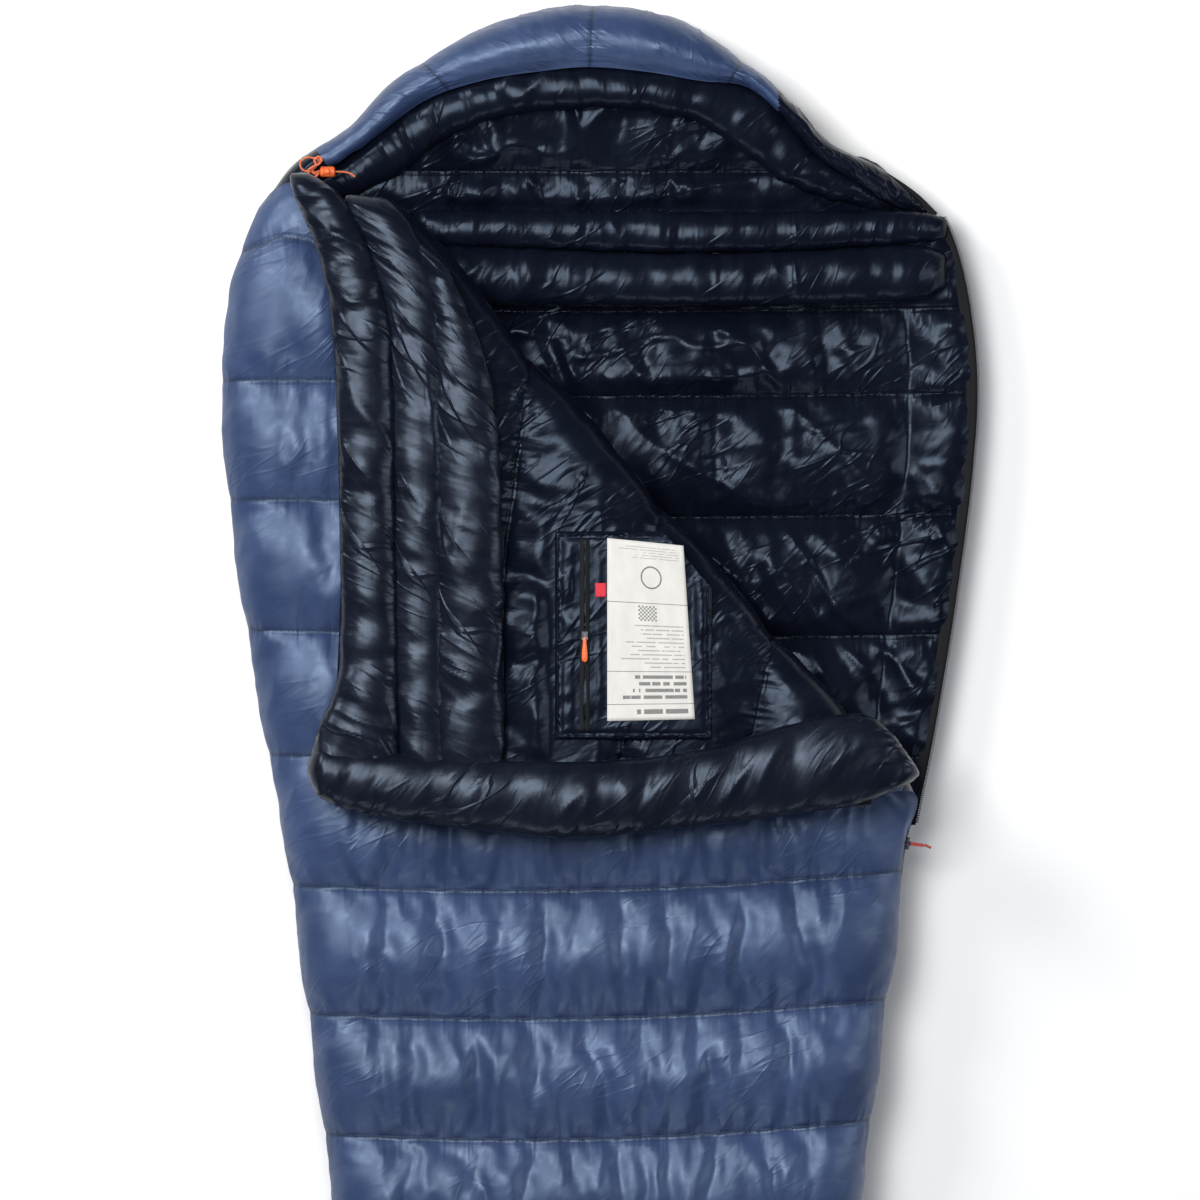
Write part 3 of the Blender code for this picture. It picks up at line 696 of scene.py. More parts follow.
def build_back_tubes():
    lines = [list(zip(COLLAR_X, ys)) for ys in (COLLAR_LOW, COLLAR_SEAM, COLLAR_HIGH)]
    above = [(x, y + 0.0012) for x, y in lines[1]]
    lower = band("back_collar_tube_lower_soft", lines[0], lines[1], 0.0500, 0.0290, "bag", 71,
                 along=120, spare=0.06, folds=0.0045, ends=(0.03, 0.09), slant=60)
    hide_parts("back_collar_tube_lower")
    upper = band("back_collar_tube_upper_soft", above, lines[2], 0.0500, 0.0220, "bag", 72,
                 along=120, across=13, spare=0.05, folds=0.004, ends=(0.03, 0.09), slant=70)
    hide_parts("back_collar_tube_upper")


# ---------------------------------------------------------------- hood

# From the left end over the top to the right end: outer edge, rim, inner edge of the roll, and
# the height of the crown.
HOOD = (((-0.364, 0.850), (-0.350, 0.854), (-0.318, 0.858), 0.070),
        ((-0.316, 0.899), (-0.304, 0.889), (-0.276, 0.868), 0.080),
        ((-0.262, 0.935), (-0.246, 0.925), (-0.218, 0.893), 0.090),
        ((-0.214, 0.993), (-0.186, 0.969), (-0.168, 0.930), 0.100),
        ((-0.150, 1.033), (-0.125, 0.990), (-0.110, 0.953), 0.110),
        ((-0.080, 1.059), (-0.068, 0.999), (-0.058, 0.961), 0.115),
        ((-0.010, 1.072), (-0.012, 1.004), (0.000, 0.966), 0.118),
        ((0.068, 1.058), (0.050, 0.999), (0.050, 0.963), 0.115),
        ((0.122, 1.032), (0.105, 0.990), (0.098, 0.951), 0.110),
        ((0.166, 1.000), (0.154, 0.984), (0.135, 0.932), 0.104),
        ((0.202, 0.962), (0.192, 0.954), (0.170, 0.904), 0.096),
        ((0.243, 0.925), (0.228, 0.914), (0.210, 0.880), 0.088),
        ((0.299, 0.897), (0.272, 0.884), (0.256, 0.865), 0.072),
        ((0.352, 0.856), (0.322, 0.856), (0.306, 0.853), 0.054))
CROWN_LENGTH, CROWN_WIDTH = 1.02, 0.24  # of its flat cloth
BLUE_STARTS = 0.106  # place along the crown's cloth: the fabric before it is dark
BLUE_ENDS = 0.188  # x of the place after which it is dark again
CROWN_SEAMS = (-0.190, -0.012, 0.150)
HOOD_SEAM_Y = 0.897
HOOD_FLOOR_Y = 0.8510
HOOD_MIDDLE = np.array((0, 0.90, 0.05))


def hood_lines(count):
    outer, rim, inner, height = (curve_points([station[k] if k < 3 else (station[3],)
                                               for station in HOOD], count) for k in range(4))
    return outer, rim, inner, height[:, 0]


def build_crown():
    """The blue crown: up from the ground at the outer edge and over to the rim."""
    count, profile = 111, 35
    outer, rim, _, height = hood_lines(count)
    neck = np.stack([outer[:, 0] * 0.97, np.full(count, 0.8440)], -1)
    shares = ((None, 0.03), (0.50, 0.02), (0.90, 0.03), (1.00, 0.24), (0.985, 0.56), (0.86, 0.86),
              (0.55, 1.00), (0.25, 0.985), (0.0, 0.90))
    grid = np.zeros((profile, count, 3))
    for k in range(count):
        spots = []
        for share, up in shares:
            flat = neck[k] if share is None else rim[k] + (outer[k] - rim[k]) * share
            if share == 0.50:
                flat = (neck[k] + outer[k]) / 2
            spots.append((*flat, max(up * height[k], 0.0015)))
        grid[:, k] = curve_points(spots, profile)
    along = np.linspace(0, CROWN_LENGTH, count)
    flat_x, flat_y = np.meshgrid(along, np.linspace(0, CROWN_WIDTH, profile))
    pinned = border_pins(flat_x.shape)
    seams = [int(np.argmin(np.abs(outer[:, 0] - x))) for x in CROWN_SEAMS]
    for column in seams:
        pinned[8:, column] = True
    cloth = refine(puffed(flat_x, flat_y, pinned, 81, spare=0.03))
    base = refine(grid)
    normal = grid_normals(base)
    outward = np.sign((normal[profile, count] * (base[profile, count] - HOOD_MIDDLE)).sum())
    x, y, h = np.moveaxis(cloth, -1, 0)
    calm = 0.45 + 0.55 * smooth(0.30, 0.10, np.minimum(x, CROWN_LENGTH - x))
    wing = smooth(0.76, 0.86, x) * smooth(0.0, 0.02, edge_distance(x, y))
    out = h * 0.42 * calm + 0.0014 * creases(x, y, 70, 0.05, 0.016, 82) * smooth(0, 0.004, h)
    out = out * (1 - wing) + wing * (0.003 + 0.005 * creases(x, y, 25, 0.05, 0.018, 83))
    skin = base + normal * outward * out[..., None]
    inner = base - normal * outward * 0.006 * smooth(0, 0.02, edge_distance(x, y))[..., None]
    for side in (skin, inner):
        side[..., 2] = np.maximum(side[..., 2], LOWEST)
    distance = np.min(np.abs(x[..., None] - along[seams]), axis=-1)
    uv, seam = np.stack([x, y], -1), np.stack([y, distance], -1)
    if outward < 0:
        skin, inner, uv, seam = (g[:, ::-1] for g in (skin, inner, uv, seam))
    piece = sewn("hood_crown_soft", skin, inner, ("shell", "lining"), (uv, uv), (seam, seam))
    centre = piece["points"][piece["faces"]].mean(axis=1)
    run = piece["uv"][piece["faces"]].mean(axis=1)[:, 0]
    dark = (centre[:, 0] > BLUE_ENDS) | (run < BLUE_STARTS)
    piece["slots"] = np.where(dark, 1, piece["slots"])
    crown = object_of(piece)
    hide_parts("hood_crown_left", "hood_crown_top", "hood_crown_right")
    hood_piece(crown)


def hood_piece(obj):
    """Hood fabric is sewn to the bag at the shoulders. Here only its place is baked into its mesh.
    """
    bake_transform(obj)


def build_rim_roll():
    count = 27
    outer, rim, inner, height = hood_lines(count)
    z = height * 0.86 - 0.016
    left = np.concatenate([inner, z[:, None]], 1)
    right = np.concatenate([rim + (outer - rim) * 0.05, z[:, None]], 1)
    roll = band("hood_rim_roll_soft", left, right, None, 0.0190, None, 83, across=17, along=150,
                under=0.9, spare=0.06, ends=(0.03, 0.03), fullness=0.8, folds=0.005, slant=66)
    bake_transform(roll)
    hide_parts("hood_rim_roll")


def build_hood_lining():
    """The floor of the hood, sewn across once, from the shoulders to under the rim."""
    columns, low_rows, high_rows = 111, 10, 15
    xs = np.linspace(-0.346, 0.349, columns)
    rim = hood_lines(400)[1]
    order = np.argsort(rim[:, 0])
    top = np.interp(xs, rim[order, 0], rim[order, 1]) - 0.004
    seam_y = np.minimum(HOOD_SEAM_Y, (HOOD_FLOOR_Y + top) / 2)
    share_low, share_high = np.linspace(0, 1, low_rows), np.linspace(0, 1, high_rows)[1:]
    y = np.concatenate([HOOD_FLOOR_Y + (seam_y - HOOD_FLOOR_Y) * share_low[:, None],
                        seam_y + (top - seam_y) * share_high[:, None]])
    x = np.repeat(xs[None], len(y), 0)
    pinned = border_pins(x.shape)
    pinned[low_rows - 1] = True
    cloth = refine(puffed(x, y, pinned, 84, spare=0.07, calm=3))
    seam_fine = refine(np.repeat(seam_y[None], len(y), 0))
    top_fine = refine(np.repeat(top[None], len(y), 0))
    x, y, h = np.moveaxis(cloth, -1, 0)
    inside = smooth(0.0, 0.02, np.minimum(y - HOOD_FLOOR_Y, top_fine - y))
    calm = smooth(0.0, 0.016, np.abs(y - seam_fine)) * inside
    h = h + calm * (0.016 * creases(x, y, 62, 0.07, 0.026, 85)
                    + 0.010 * creases(x, y, 105, 0.06, 0.020, 88)
                    + 0.006 * creases(x, y, 15, 0.07, 0.024, 91))
    share = (y - HOOD_FLOOR_Y) / np.maximum(top_fine - HOOD_FLOOR_Y, 1e-6)
    side = smooth(0.20, 0.34, np.abs(x))
    z = 0.047 + share * (0.016 - 0.004 * side) + 0.9 * h * inside
    upper = np.stack([x, y, z], -1)
    lower = np.stack([x, y, np.full_like(z, 0.040) + 0.004 * share], -1)
    uv = np.stack([x, y], -1)
    seam = np.stack([x, np.abs(y - seam_fine)], -1)
    piece = object_of(sewn("hood_lining_soft", upper, lower, ("lining", "lining"), (uv, uv),
                           (seam, seam)))
    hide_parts("hood_floor")
    hood_piece(piece)


# ---------------------------------------------------------------- foot

# From the last seam to the end: place along the bag, half width, lowest and highest point.
FOOT = ((-0.9500, 0.180, 0.006, 0.109), (-0.9750, 0.184, 0.001, 0.121),
        (-1.0050, 0.179, 0.001, 0.122), (-1.0300, 0.164, 0.002, 0.115),
        (-1.0520, 0.138, 0.006, 0.101), (-1.0670, 0.098, 0.016, 0.084),
        (-1.0740, 0.046, 0.032, 0.067), (-1.0750, 0.004, 0.048, 0.052))
FOOT_ROUNDNESS = 0.72
FOOT_GIRTH = 0.12  # length of cloth in a radian round the foot


def build_foot():
    """The rounded end of the foot, gathered in the middle of its end."""
    around, rows = 120, 57
    line = curve_points(FOOT, rows)
    turn = np.linspace(0, 2 * math.pi, around, endpoint=False)
    t, r = np.meshgrid(turn, np.linspace(0, 1, rows))
    half, low, high = (line[:, k][:, None] for k in (1, 2, 3))
    x = half * bulged(np.cos(t), FOOT_ROUNDNESS)
    z = (low + high) / 2 + (high - low) / 2 * bulged(np.sin(t), FOOT_ROUNDNESS)
    y = np.repeat(line[:, :1], around, 1)
    pucker = np.abs(value_noise(t * 3.2 + 20, r * 0.5, 0.21, 95)) * smooth(0.0, 0.12, r)
    x = x * (1 - 0.035 * pucker)
    z = np.maximum(z - (z - 0.055) * 0.10 * pucker, LOWEST)
    index = np.arange(rows * around).reshape(rows, around)
    faces = quads(np.concatenate([index, index[:, :1]], 1))[:, ::-1]
    girth = t * FOOT_GIRTH
    foot = make_object("foot_end_soft", np.stack([x, y, z], -1).reshape(-1, 3), faces, ("shell",),
                       uv=np.stack([girth, y], -1),
                       seam=np.stack([girth, FOOT[0][0] - y], -1))
    bm = bmesh.new()
    bm.from_mesh(foot.data)
    bmesh.ops.holes_fill(bm, edges=[e for e in bm.edges if e.is_boundary])
    bmesh.ops.recalc_face_normals(bm, faces=bm.faces)
    bm.to_mesh(foot.data)
    bm.free()
    stand_in(foot, "bag", "foot_end")


# ---------------------------------------------------------------- zips

TOOTH_PITCH = 0.0024
TOOTH = np.array([(a, b, c) for c, grow in ((-0.5, 0.8), (0.0, 1.0), (0.5, 0.8))
                  for a, b in ((-0.5 * grow, -0.5), (0.5 * grow, -0.5), (0.5 * grow, 0.5),
                               (-0.5 * grow, 0.5))])
TOOTH_FACES = [(3, 2, 1, 0), (8, 9, 10, 11)] + [
    (k * 4 + i, k * 4 + (i + 1) % 4, k * 4 + 4 + (i + 1) % 4, k * 4 + 4 + i)
    for k in range(2) for i in range(4)]


def tape(name, lines, thickness, up, body, node, ripple=0.0):
    """A woven tape between two edge lines, given as (n, 3) points."""
    inner, outer = lines
    across = 5
    grid = np.stack([inner + (outer - inner) * k / (across - 1) for k in range(across)], 1)
    wave = ripple * value_noise(grid[..., 1], grid[..., 0], 0.05, 17)
    grid = grid + np.array(up) * wave[..., None]
    length = run_length(inner)
    width = np.linalg.norm(outer - inner, axis=1)
    uv = np.stack([np.repeat(length[:, None], across, 1),
                   width[:, None] * np.linspace(0, 1, across)], -1)
    lift = np.array(up) * thickness
    upper, lower = grid + lift, grid
    if np.dot(grid_normals(grid).mean(axis=(0, 1)), up) < 0:
        upper, lower, uv = upper[:, ::-1], lower[:, ::-1], uv[:, ::-1]
    piece = object_of(sewn(name, upper, lower, ("zip_tape", "zip_tape"), (uv, uv), (uv, uv)))
    stand_in(piece, body, node)


def teeth(name, line, up, size, body, node, stagger=0.0):
    """A row of zip teeth along a line, each turned with it. Every other one is shifted up."""
    line = np.asarray(line, float)
    length = run_length(line)
    places = np.arange(TOOTH_PITCH / 2, length[-1], TOOTH_PITCH)
    centres = np.stack([np.interp(places, length, line[:, k]) for k in range(3)], -1)
    ahead = np.stack([np.interp(places + 0.001, length, line[:, k]) for k in range(3)], -1)
    along = ahead - centres
    along[-1] = along[-2]
    along /= np.linalg.norm(along, axis=1, keepdims=True)
    up = np.array(up, float)
    side = np.cross(along, up)
    points, faces = [], []
    for number, centre in enumerate(centres):
        shift = up * stagger * (1 if number % 2 else -1)
        corner = (centre + shift + TOOTH[:, :1] * along[number] * size[0]
                  + TOOTH[:, 1:2] * side[number] * size[1] + TOOTH[:, 2:] * up * size[2])
        faces += [tuple(i + len(points) for i in face) for face in TOOTH_FACES]
        points += list(corner)
    piece = make_object(name, points, faces, ("zip_teeth",))
    piece.data.shade_flat()
    stand_in(piece, body, node)


OPEN_ZIP_Y = (0.205, 0.849)  # from the slider to the hood
FLAP_ZIP_Y = (0.290, 0.849)
TAPE_THICK, FLAP_TAPE_THICK, CLOSED_TAPE_THICK = 0.0011, 0.0010, 0.0008
OPEN_TOOTH, FLAP_TOOTH = (0.0013, 0.0026, 0.0024), (0.0013, 0.0024, 0.0024)
CHAIN_TOOTH, CHAIN_STAGGER = (0.0014, 0.0026, 0.0034), 0.0010
HOOD_ZIP = ((0.3575, 0.8530, 0.0512), (0.3370, 0.8730, 0.0520), (0.3100, 0.8920, 0.0530),
            (0.2800, 0.9080, 0.0540))
HOOD_TAPE_WIDTH = 0.007
# The closed zip lies inside the line of the slider's path, and its tape stands on edge.
CLOSED_TAPE_INSET, CLOSED_TAPE_HALF, CHAIN_INSET = 0.0092, 0.0135, 0.0070


def side_line(low, high, out, z, count=90):
    """A line at height z along the bag's zip side, out beyond its outline."""
    y = np.linspace(low, high, count)
    return np.stack([half_width(y) + out, y, np.full(count, z)], -1)


def build_open_zip(up):
    """The two halves of the open part, on the bag and on the flap, and the hood's end of it."""
    low, high = OPEN_ZIP_Y
    tape("bag_zip_tape_woven", (side_line(low, high, -0.011, OPEN_ZIP_Z),
                                side_line(low, high, 0.0010, OPEN_ZIP_Z)),
         TAPE_THICK, up, "bag", "bag_zip_tape", ripple=0.0006)
    teeth("bag_zip_teeth_row", side_line(low + 0.002, high, 0.0020, OPEN_ZIP_Z + 0.0006), up,
          OPEN_TOOTH, "bag", "bag_zip_teeth")
    tape("flap_zip_tape_woven", (folded(side_line(*FLAP_ZIP_Y, -0.005, FLAP_ZIP_Z)),
                                 folded(side_line(*FLAP_ZIP_Y, 0.0005, FLAP_ZIP_Z))),
         FLAP_TAPE_THICK, up, "flap", "flap_zip_tape")
    teeth("flap_zip_teeth_row", folded(side_line(*FLAP_ZIP_Y, 0.0018, FLAP_ZIP_Z)), up,
          FLAP_TOOTH, "flap", "flap_zip_teeth")

    outer = curve_points(np.array(HOOD_ZIP), 30)
    along = np.gradient(outer, axis=0)
    along /= np.linalg.norm(along, axis=1, keepdims=True)
    inner = outer - np.cross(along, up) * HOOD_TAPE_WIDTH
    tape("hood_zip_tape_woven", (inner, outer), TAPE_THICK, up, "hood", "hood_zip_tape",
         ripple=0.0006)


def build_closed_zip(up):
    """The closed part: a tape that stands on edge at the side, and a chain of joined teeth."""
    top, end = np.array(ZIP_TOP), np.array(ZIP_END)
    path = top + (end - top) * np.linspace(0.002, 1.0, 120)[:, None]
    out = np.array((end[1] - top[1], top[0] - end[0], 0.0))
    out /= -np.linalg.norm(out)
    middle = path + np.array((0, 0, ZIP_Z))
    inside = middle - out * CLOSED_TAPE_INSET
    rise = np.array((0, 0, CLOSED_TAPE_HALF))
    tape("closed_zip_tape_woven", (inside - rise, inside + rise), CLOSED_TAPE_THICK,
         tuple(-out), "bag", "closed_zip_tape", ripple=0.0008)
    teeth("closed_zip_chain_row", middle - out * CHAIN_INSET, up, CHAIN_TOOTH, "bag",
          "closed_zip_chain", stagger=CHAIN_STAGGER)


# ---------------------------------------------------------------- pocket and labels

POCKET_X = (-0.0470, 0.1170)
POCKET_Y = (0.2975, 0.5150)
POCKET_CUT = ((0.066, 0.5150), (0.118, 0.4550))
POCKET_BACK, POCKET_FRONT = 0.1668, 0.1680  # heights of its two cloths at the border
POCKET_STITCH = 0.0035  # from the border to the stitching
POCKET_ZIP_X, POCKET_ZIP_Y = -0.0160, (0.3065, 0.5075)
LABEL = ((0.0075, 0.3170), (0.0990, 0.3190), (0.0870, 0.5000), (0.0075, 0.5080))
LABEL_Z, LABEL_HALF = 0.1716, 0.0003  # its height at the sewn edge, and half its thickness


def build_pocket():
    xs = np.linspace(*POCKET_X, 43)
    top = np.minimum(POCKET_Y[1], np.interp(xs, *zip(*POCKET_CUT)))
    share = np.linspace(0, 1, 55)[:, None]
    y = POCKET_Y[0] + (top - POCKET_Y[0]) * share
    x = np.repeat(xs[None], len(share), 0)
    pinned = border_pins(x.shape)
    zip_column = int(np.argmin(np.abs(xs - POCKET_ZIP_X)))
    pinned[:, zip_column] = True
    cloth = refine(puffed(x, y, pinned, 92, spare=0.10, pressure=5.0))
    x, y, h = np.moveaxis(cloth, -1, 0)
    border = edge_distance(x, y)
    clear = np.minimum(np.abs(x - POCKET_ZIP_X), 0.02)
    under_label = smooth(-0.012, 0.004, x) * smooth(0.112, 0.096, x) * smooth(0.532, 0.512, y)
    h = h * 0.30 + 0.0020 * creases(x, y, 65, 0.07, 0.018, 93) * smooth(0, 0.01, border)
    h = h * (1 - 0.8 * under_label)
    ceiling = POCKET_TOP - 0.0002 + 0.006 * smooth(0.011, 0.02, clear) * (1 - under_label)
    z = np.minimum(POCKET_FRONT + 0.0024 * smooth(0, 0.012, border) + h, ceiling)
    upper, lower = np.stack([x, y, z], -1), np.stack([x, y, np.full_like(z, POCKET_BACK)], -1)
    uv = np.stack([x, y], -1)
    stitched = np.abs(border - POCKET_STITCH)
    # Past 1.2 mm from the stitching the distance is stretched tenfold, so the painted seam shade
    # and the groove stay within 1.2 mm of it.
    stitched = np.where(stitched < 0.0012, stitched, stitched * 10)
    seam = np.stack([x + y, stitched], -1)
    pocket = object_of(sewn("inner_pocket_soft", upper, lower, ("lining", "lining"), (uv, uv),
                            (seam, seam)))
    stand_in(pocket, "flap", "inner_pocket")


def build_pocket_zip():
    """Two narrow lips of tape that meet over the pocket's slit and gape a little low down."""
    count = 60
    ys = np.linspace(*POCKET_ZIP_Y, count)
    gape = 0.0012 * smooth(0.372, 0.345, ys) * smooth(0.306, 0.335, ys)
    for side, name in ((-1, "left"), (1, "right")):
        near = np.stack([POCKET_ZIP_X + side * (0.0006 + gape), ys, np.full(count, 0.1728)], -1)
        far = np.stack([np.full(count, POCKET_ZIP_X + side * 0.0052), ys,
                        np.full(count, 0.1713)], -1)
        tape(f"pocket_zip_lip_{name}", (near, far), 0.0006, (0, 0, 1), "flap", "pocket_zip_tape",
             ripple=0.0003)


def build_label():
    """The care label: blank cloth with plain printed bars, sewn on along its lower edge."""
    a, b, c, d = (np.array(p) for p in LABEL)
    u, v = np.meshgrid(np.linspace(0, 1, 25), np.linspace(0, 1, 49))
    u, v = u[..., None], v[..., None]
    flat = (a * (1 - u) + b * u) * (1 - v) + (d * (1 - u) + c * u) * v
    v = v[..., 0]
    z = LABEL_Z + 0.0008 * value_noise(flat[..., 0], flat[..., 1], 0.05, 7) * smooth(0, 0.3, v)
    z = z + 0.0012 * smooth(0, 0.6, v) + 0.0022 * smooth(0.75, 1.0, v) * u[..., 0]
    upper = np.concatenate([flat, z[..., None] + LABEL_HALF], -1)
    lower = np.concatenate([flat, z[..., None] - LABEL_HALF], -1)
    uv = np.stack([u[..., 0], v], -1)
    label = object_of(sewn("care_label_sheet", upper, lower, ("label_white", "label_white"),
                           (uv, uv), (uv, uv)))
    stand_in(label, "label", "care_label")


def build_tab():
    """A small folded tab of plain woven ribbon, sewn in at one side."""
    low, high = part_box("side_tab")
    y, s = np.meshgrid(np.linspace(low.y, high.y, 9), np.linspace(0, 1, 15))
    x = high.x + (low.x - high.x) * s
    z = low.z + 0.0006 + 0.0016 * np.sqrt(s) * (1 - s ** 6)
    uv = np.stack([x, y], -1)
    upper = np.stack([x, y, z], -1)
    lower = np.stack([x, y, np.full_like(x, low.z)], -1)
    upper, lower, uv = upper[:, ::-1], lower[:, ::-1], uv[:, ::-1]
    tab = object_of(sewn("side_tab_ribbon", upper, lower, ("tab_red", "tab_red"), (uv, uv),
                         (uv, uv)))
    stand_in(tab, "flap", "side_tab")


# ---------------------------------------------------------------- small hard parts

def lathe(name, profile, axis, centre, material, body, node, segments=40, closed=False):
    """Turns (along, radius) points about an axis through centre."""
    bm = bmesh.new()
    rings = []
    for along, radius in profile:
        ring = []
        for k in range(segments):
            angle = 2 * math.pi * k / segments
            a, b = radius * math.cos(angle), radius * math.sin(angle)
            spot = (along, a, b) if axis == "X" else (a, b, along)
            ring.append(bm.verts.new(Vector(spot) + Vector(centre)))
        rings.append(ring)
    pairs = list(zip(rings, rings[1:])) + ([(rings[-1], rings[0])] if closed else [])
    for ring, following in pairs:
        for k in range(segments):
            n = (k + 1) % segments
            bm.faces.new((ring[k], ring[n], following[n], following[k]))
    if not closed:
        bm.faces.new(rings[0])
        bm.faces.new(rings[-1])
    bmesh.ops.recalc_face_normals(bm, faces=bm.faces)
    mesh = bpy.data.meshes.new(name)
    bm.to_mesh(mesh)
    bm.free()
    mesh.materials.append(finishes[material])
    mesh.shade_smooth()
    mesh.set_sharp_from_angle(angle=math.radians(38))
    stand_in(linked(name, mesh), body, node)


LOCK_BORE, LOCK_FACE, LOCK_RIM = 0.0018, 0.0030, 0.0044  # radii at the lock's ends
GROOVES, GROOVE_PITCH, GROOVE_DEPTH = 4, 0.0030, 0.0004


def build_cord_lock():
    """A ribbed barrel that the cord runs through, and its button."""
    low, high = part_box("cordlock_body")
    centre = (low + high) / 2
    half = (high.x - low.x) / 2
    radius = (high.y - low.y) / 2
    profile = [(-half + 0.0002, LOCK_BORE), (-half, LOCK_FACE), (-half + 0.0004, LOCK_RIM),
               (-half + 0.0014, radius * 0.95)]
    for k in range(GROOVES):
        start = -half + 0.0022 + k * GROOVE_PITCH
        profile += [(start, radius), (start + 0.0016, radius),
                    (start + 0.0021, radius - GROOVE_DEPTH),
                    (start + 0.0025, radius - GROOVE_DEPTH)]
    profile += [(half - 0.0014, radius * 0.95), (half - 0.0004, LOCK_RIM), (half, LOCK_FACE),
                (half - 0.0002, LOCK_BORE)]
    lathe("cordlock_barrel", profile, "X", centre, "toggle_orange", "cordlock",
          "cordlock_body", closed=True)
    low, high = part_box("cordlock_button")
    middle = (low + high) / 2
    tall = high.z - low.z
    lathe("cordlock_press_button",
          [(-tall / 2, 0.0026), (tall * 0.25, 0.0027), (tall * 0.40, 0.0025),
           (tall * 0.48, 0.0020), (tall * 0.50, 0.0012)], "Z", middle, "toggle_orange",
          "cordlock_button", "cordlock_button", segments=32)


DRAWCORD_THICK = 0.002
CORD_LOCK = (-0.287, 0.8945, 0.0930)


def drawcord_route():
    x, y, z = CORD_LOCK
    return [(x + 0.0290, y - 0.0050, z), (x + 0.0230, y - 0.0015, z), (x + 0.0150, y, z),
            (x, y, z), (x - 0.0190, y, z), (x - 0.0270, y + 0.0030, z),
            (x - 0.0285, y + 0.0100, z), (x - 0.0220, y + 0.0150, z + 0.001),
            (x - 0.0130, y + 0.0140, z + 0.001)]


def curve_object(name, points, radius, material, cyclic=False):
    curve = bpy.data.curves.new(name, "CURVE")
    curve.dimensions = "3D"
    curve.bevel_depth = radius
    curve.bevel_resolution = 4
    curve.use_fill_caps = not cyclic
    spline = curve.splines.new("POLY")
    spline.points.add(len(points) - 1)
    for spot, point in zip(spline.points, points):
        spot.co = (*point, 1.0)
    spline.use_cyclic_u = cyclic
    curve.materials.append(finishes[material])
    return linked(name, curve)


def build_cord():
    """The free end of the cord in the rim: out of the rim, through its lock, to a knot."""
    points = curve_points(drawcord_route(), 65)
    cord = curve_object("drawcord_line", points, DRAWCORD_THICK / 2, "cord_orange")
    stand_in(cord, "hood", "drawcord")
    end = Vector(points[-1]) + Vector((0.0034, -0.0004, 0.0))
    turns = np.linspace(0, 2 * math.pi, 73)[:-1]
    knot_line = [end + 0.00105 * Vector(((math.sin(t) + 2 * math.sin(2 * t)) * 0.75,
                                         (math.cos(t) - 2 * math.cos(2 * t)) * 0.62,
                                         -math.sin(3 * t) * 0.8)) for t in turns]
    knot = curve_object("drawcord_end_knot", knot_line, 0.00095, "cord_orange", cyclic=True)
    stand_in(knot, "hood", "drawcord_knot")
    loops = [Vector(CORD_LOCK) + Vector(step) for step in (
        (-0.0085, -0.0005, 0.0005), (-0.0130, -0.0055, 0.0020), (-0.0185, -0.0050, 0.0040),
        (-0.0200, 0.0010, 0.0050), (-0.0150, 0.0050, 0.0060), (-0.0090, 0.0080, 0.0070),
        (-0.0060, 0.0125, 0.0060), (-0.0095, 0.0155, 0.0050), (-0.0135, 0.0120, 0.0040),
        (-0.0120, 0.0065, 0.0035), (-0.0160, 0.0020, 0.0025), (-0.0135, -0.0020, 0.0020),
        (-0.0085, 0.0010, 0.0015))]
    tangle = curve_object("drawcord_tangle", curve_points(loops, 120), 0.0013, "cord_orange")
    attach(tangle, "cordlock")


def build_pocket_pull():
    """The small moulded pull of the pocket zip: a waist, a rounded end and a raised rib."""
    low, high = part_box("pocket_pull")
    centre, size = (low + high) / 2, high - low
    t, v = np.meshgrid(np.linspace(0, 2 * math.pi, 25)[:-1], np.linspace(0, 1, 25))
    ends = np.sqrt(np.maximum(0.0, 1 - (2 * v - 1) ** 10))
    width = size.x / 2 * (0.62 + 0.38 * smooth(0.85, 0.30, v)) * np.maximum(ends, 0.05)
    thick = size.z / 2 * np.maximum(ends, 0.10)
    x = centre.x + width * bulged(np.cos(t), 0.6)
    z = centre.z + thick * bulged(np.sin(t), 0.8)
    z = z + 0.0004 * np.exp(-((np.cos(t)) / 0.25) ** 2) * (np.sin(t) > 0) * (v > 0.12) * (v < 0.88)
    y = low.y + v * size.y
    points = np.stack([x, y, z], -1)
    rows, around = v.shape
    index = np.arange(rows * around).reshape(rows, around)
    faces = [tuple(f) for f in quads(np.concatenate([index, index[:, :1]], 1))[:, ::-1]]
    faces += [tuple(index[0]), tuple(index[-1][::-1])]
    pull = make_object("pocket_pull_moulded", points.reshape(-1, 3), faces, ("toggle_orange",))
    pull.data.set_sharp_from_angle(angle=math.radians(50))
    stand_in(pull, "pocket_pull", "pocket_pull")


# ---------------------------------------------------------------- finishes

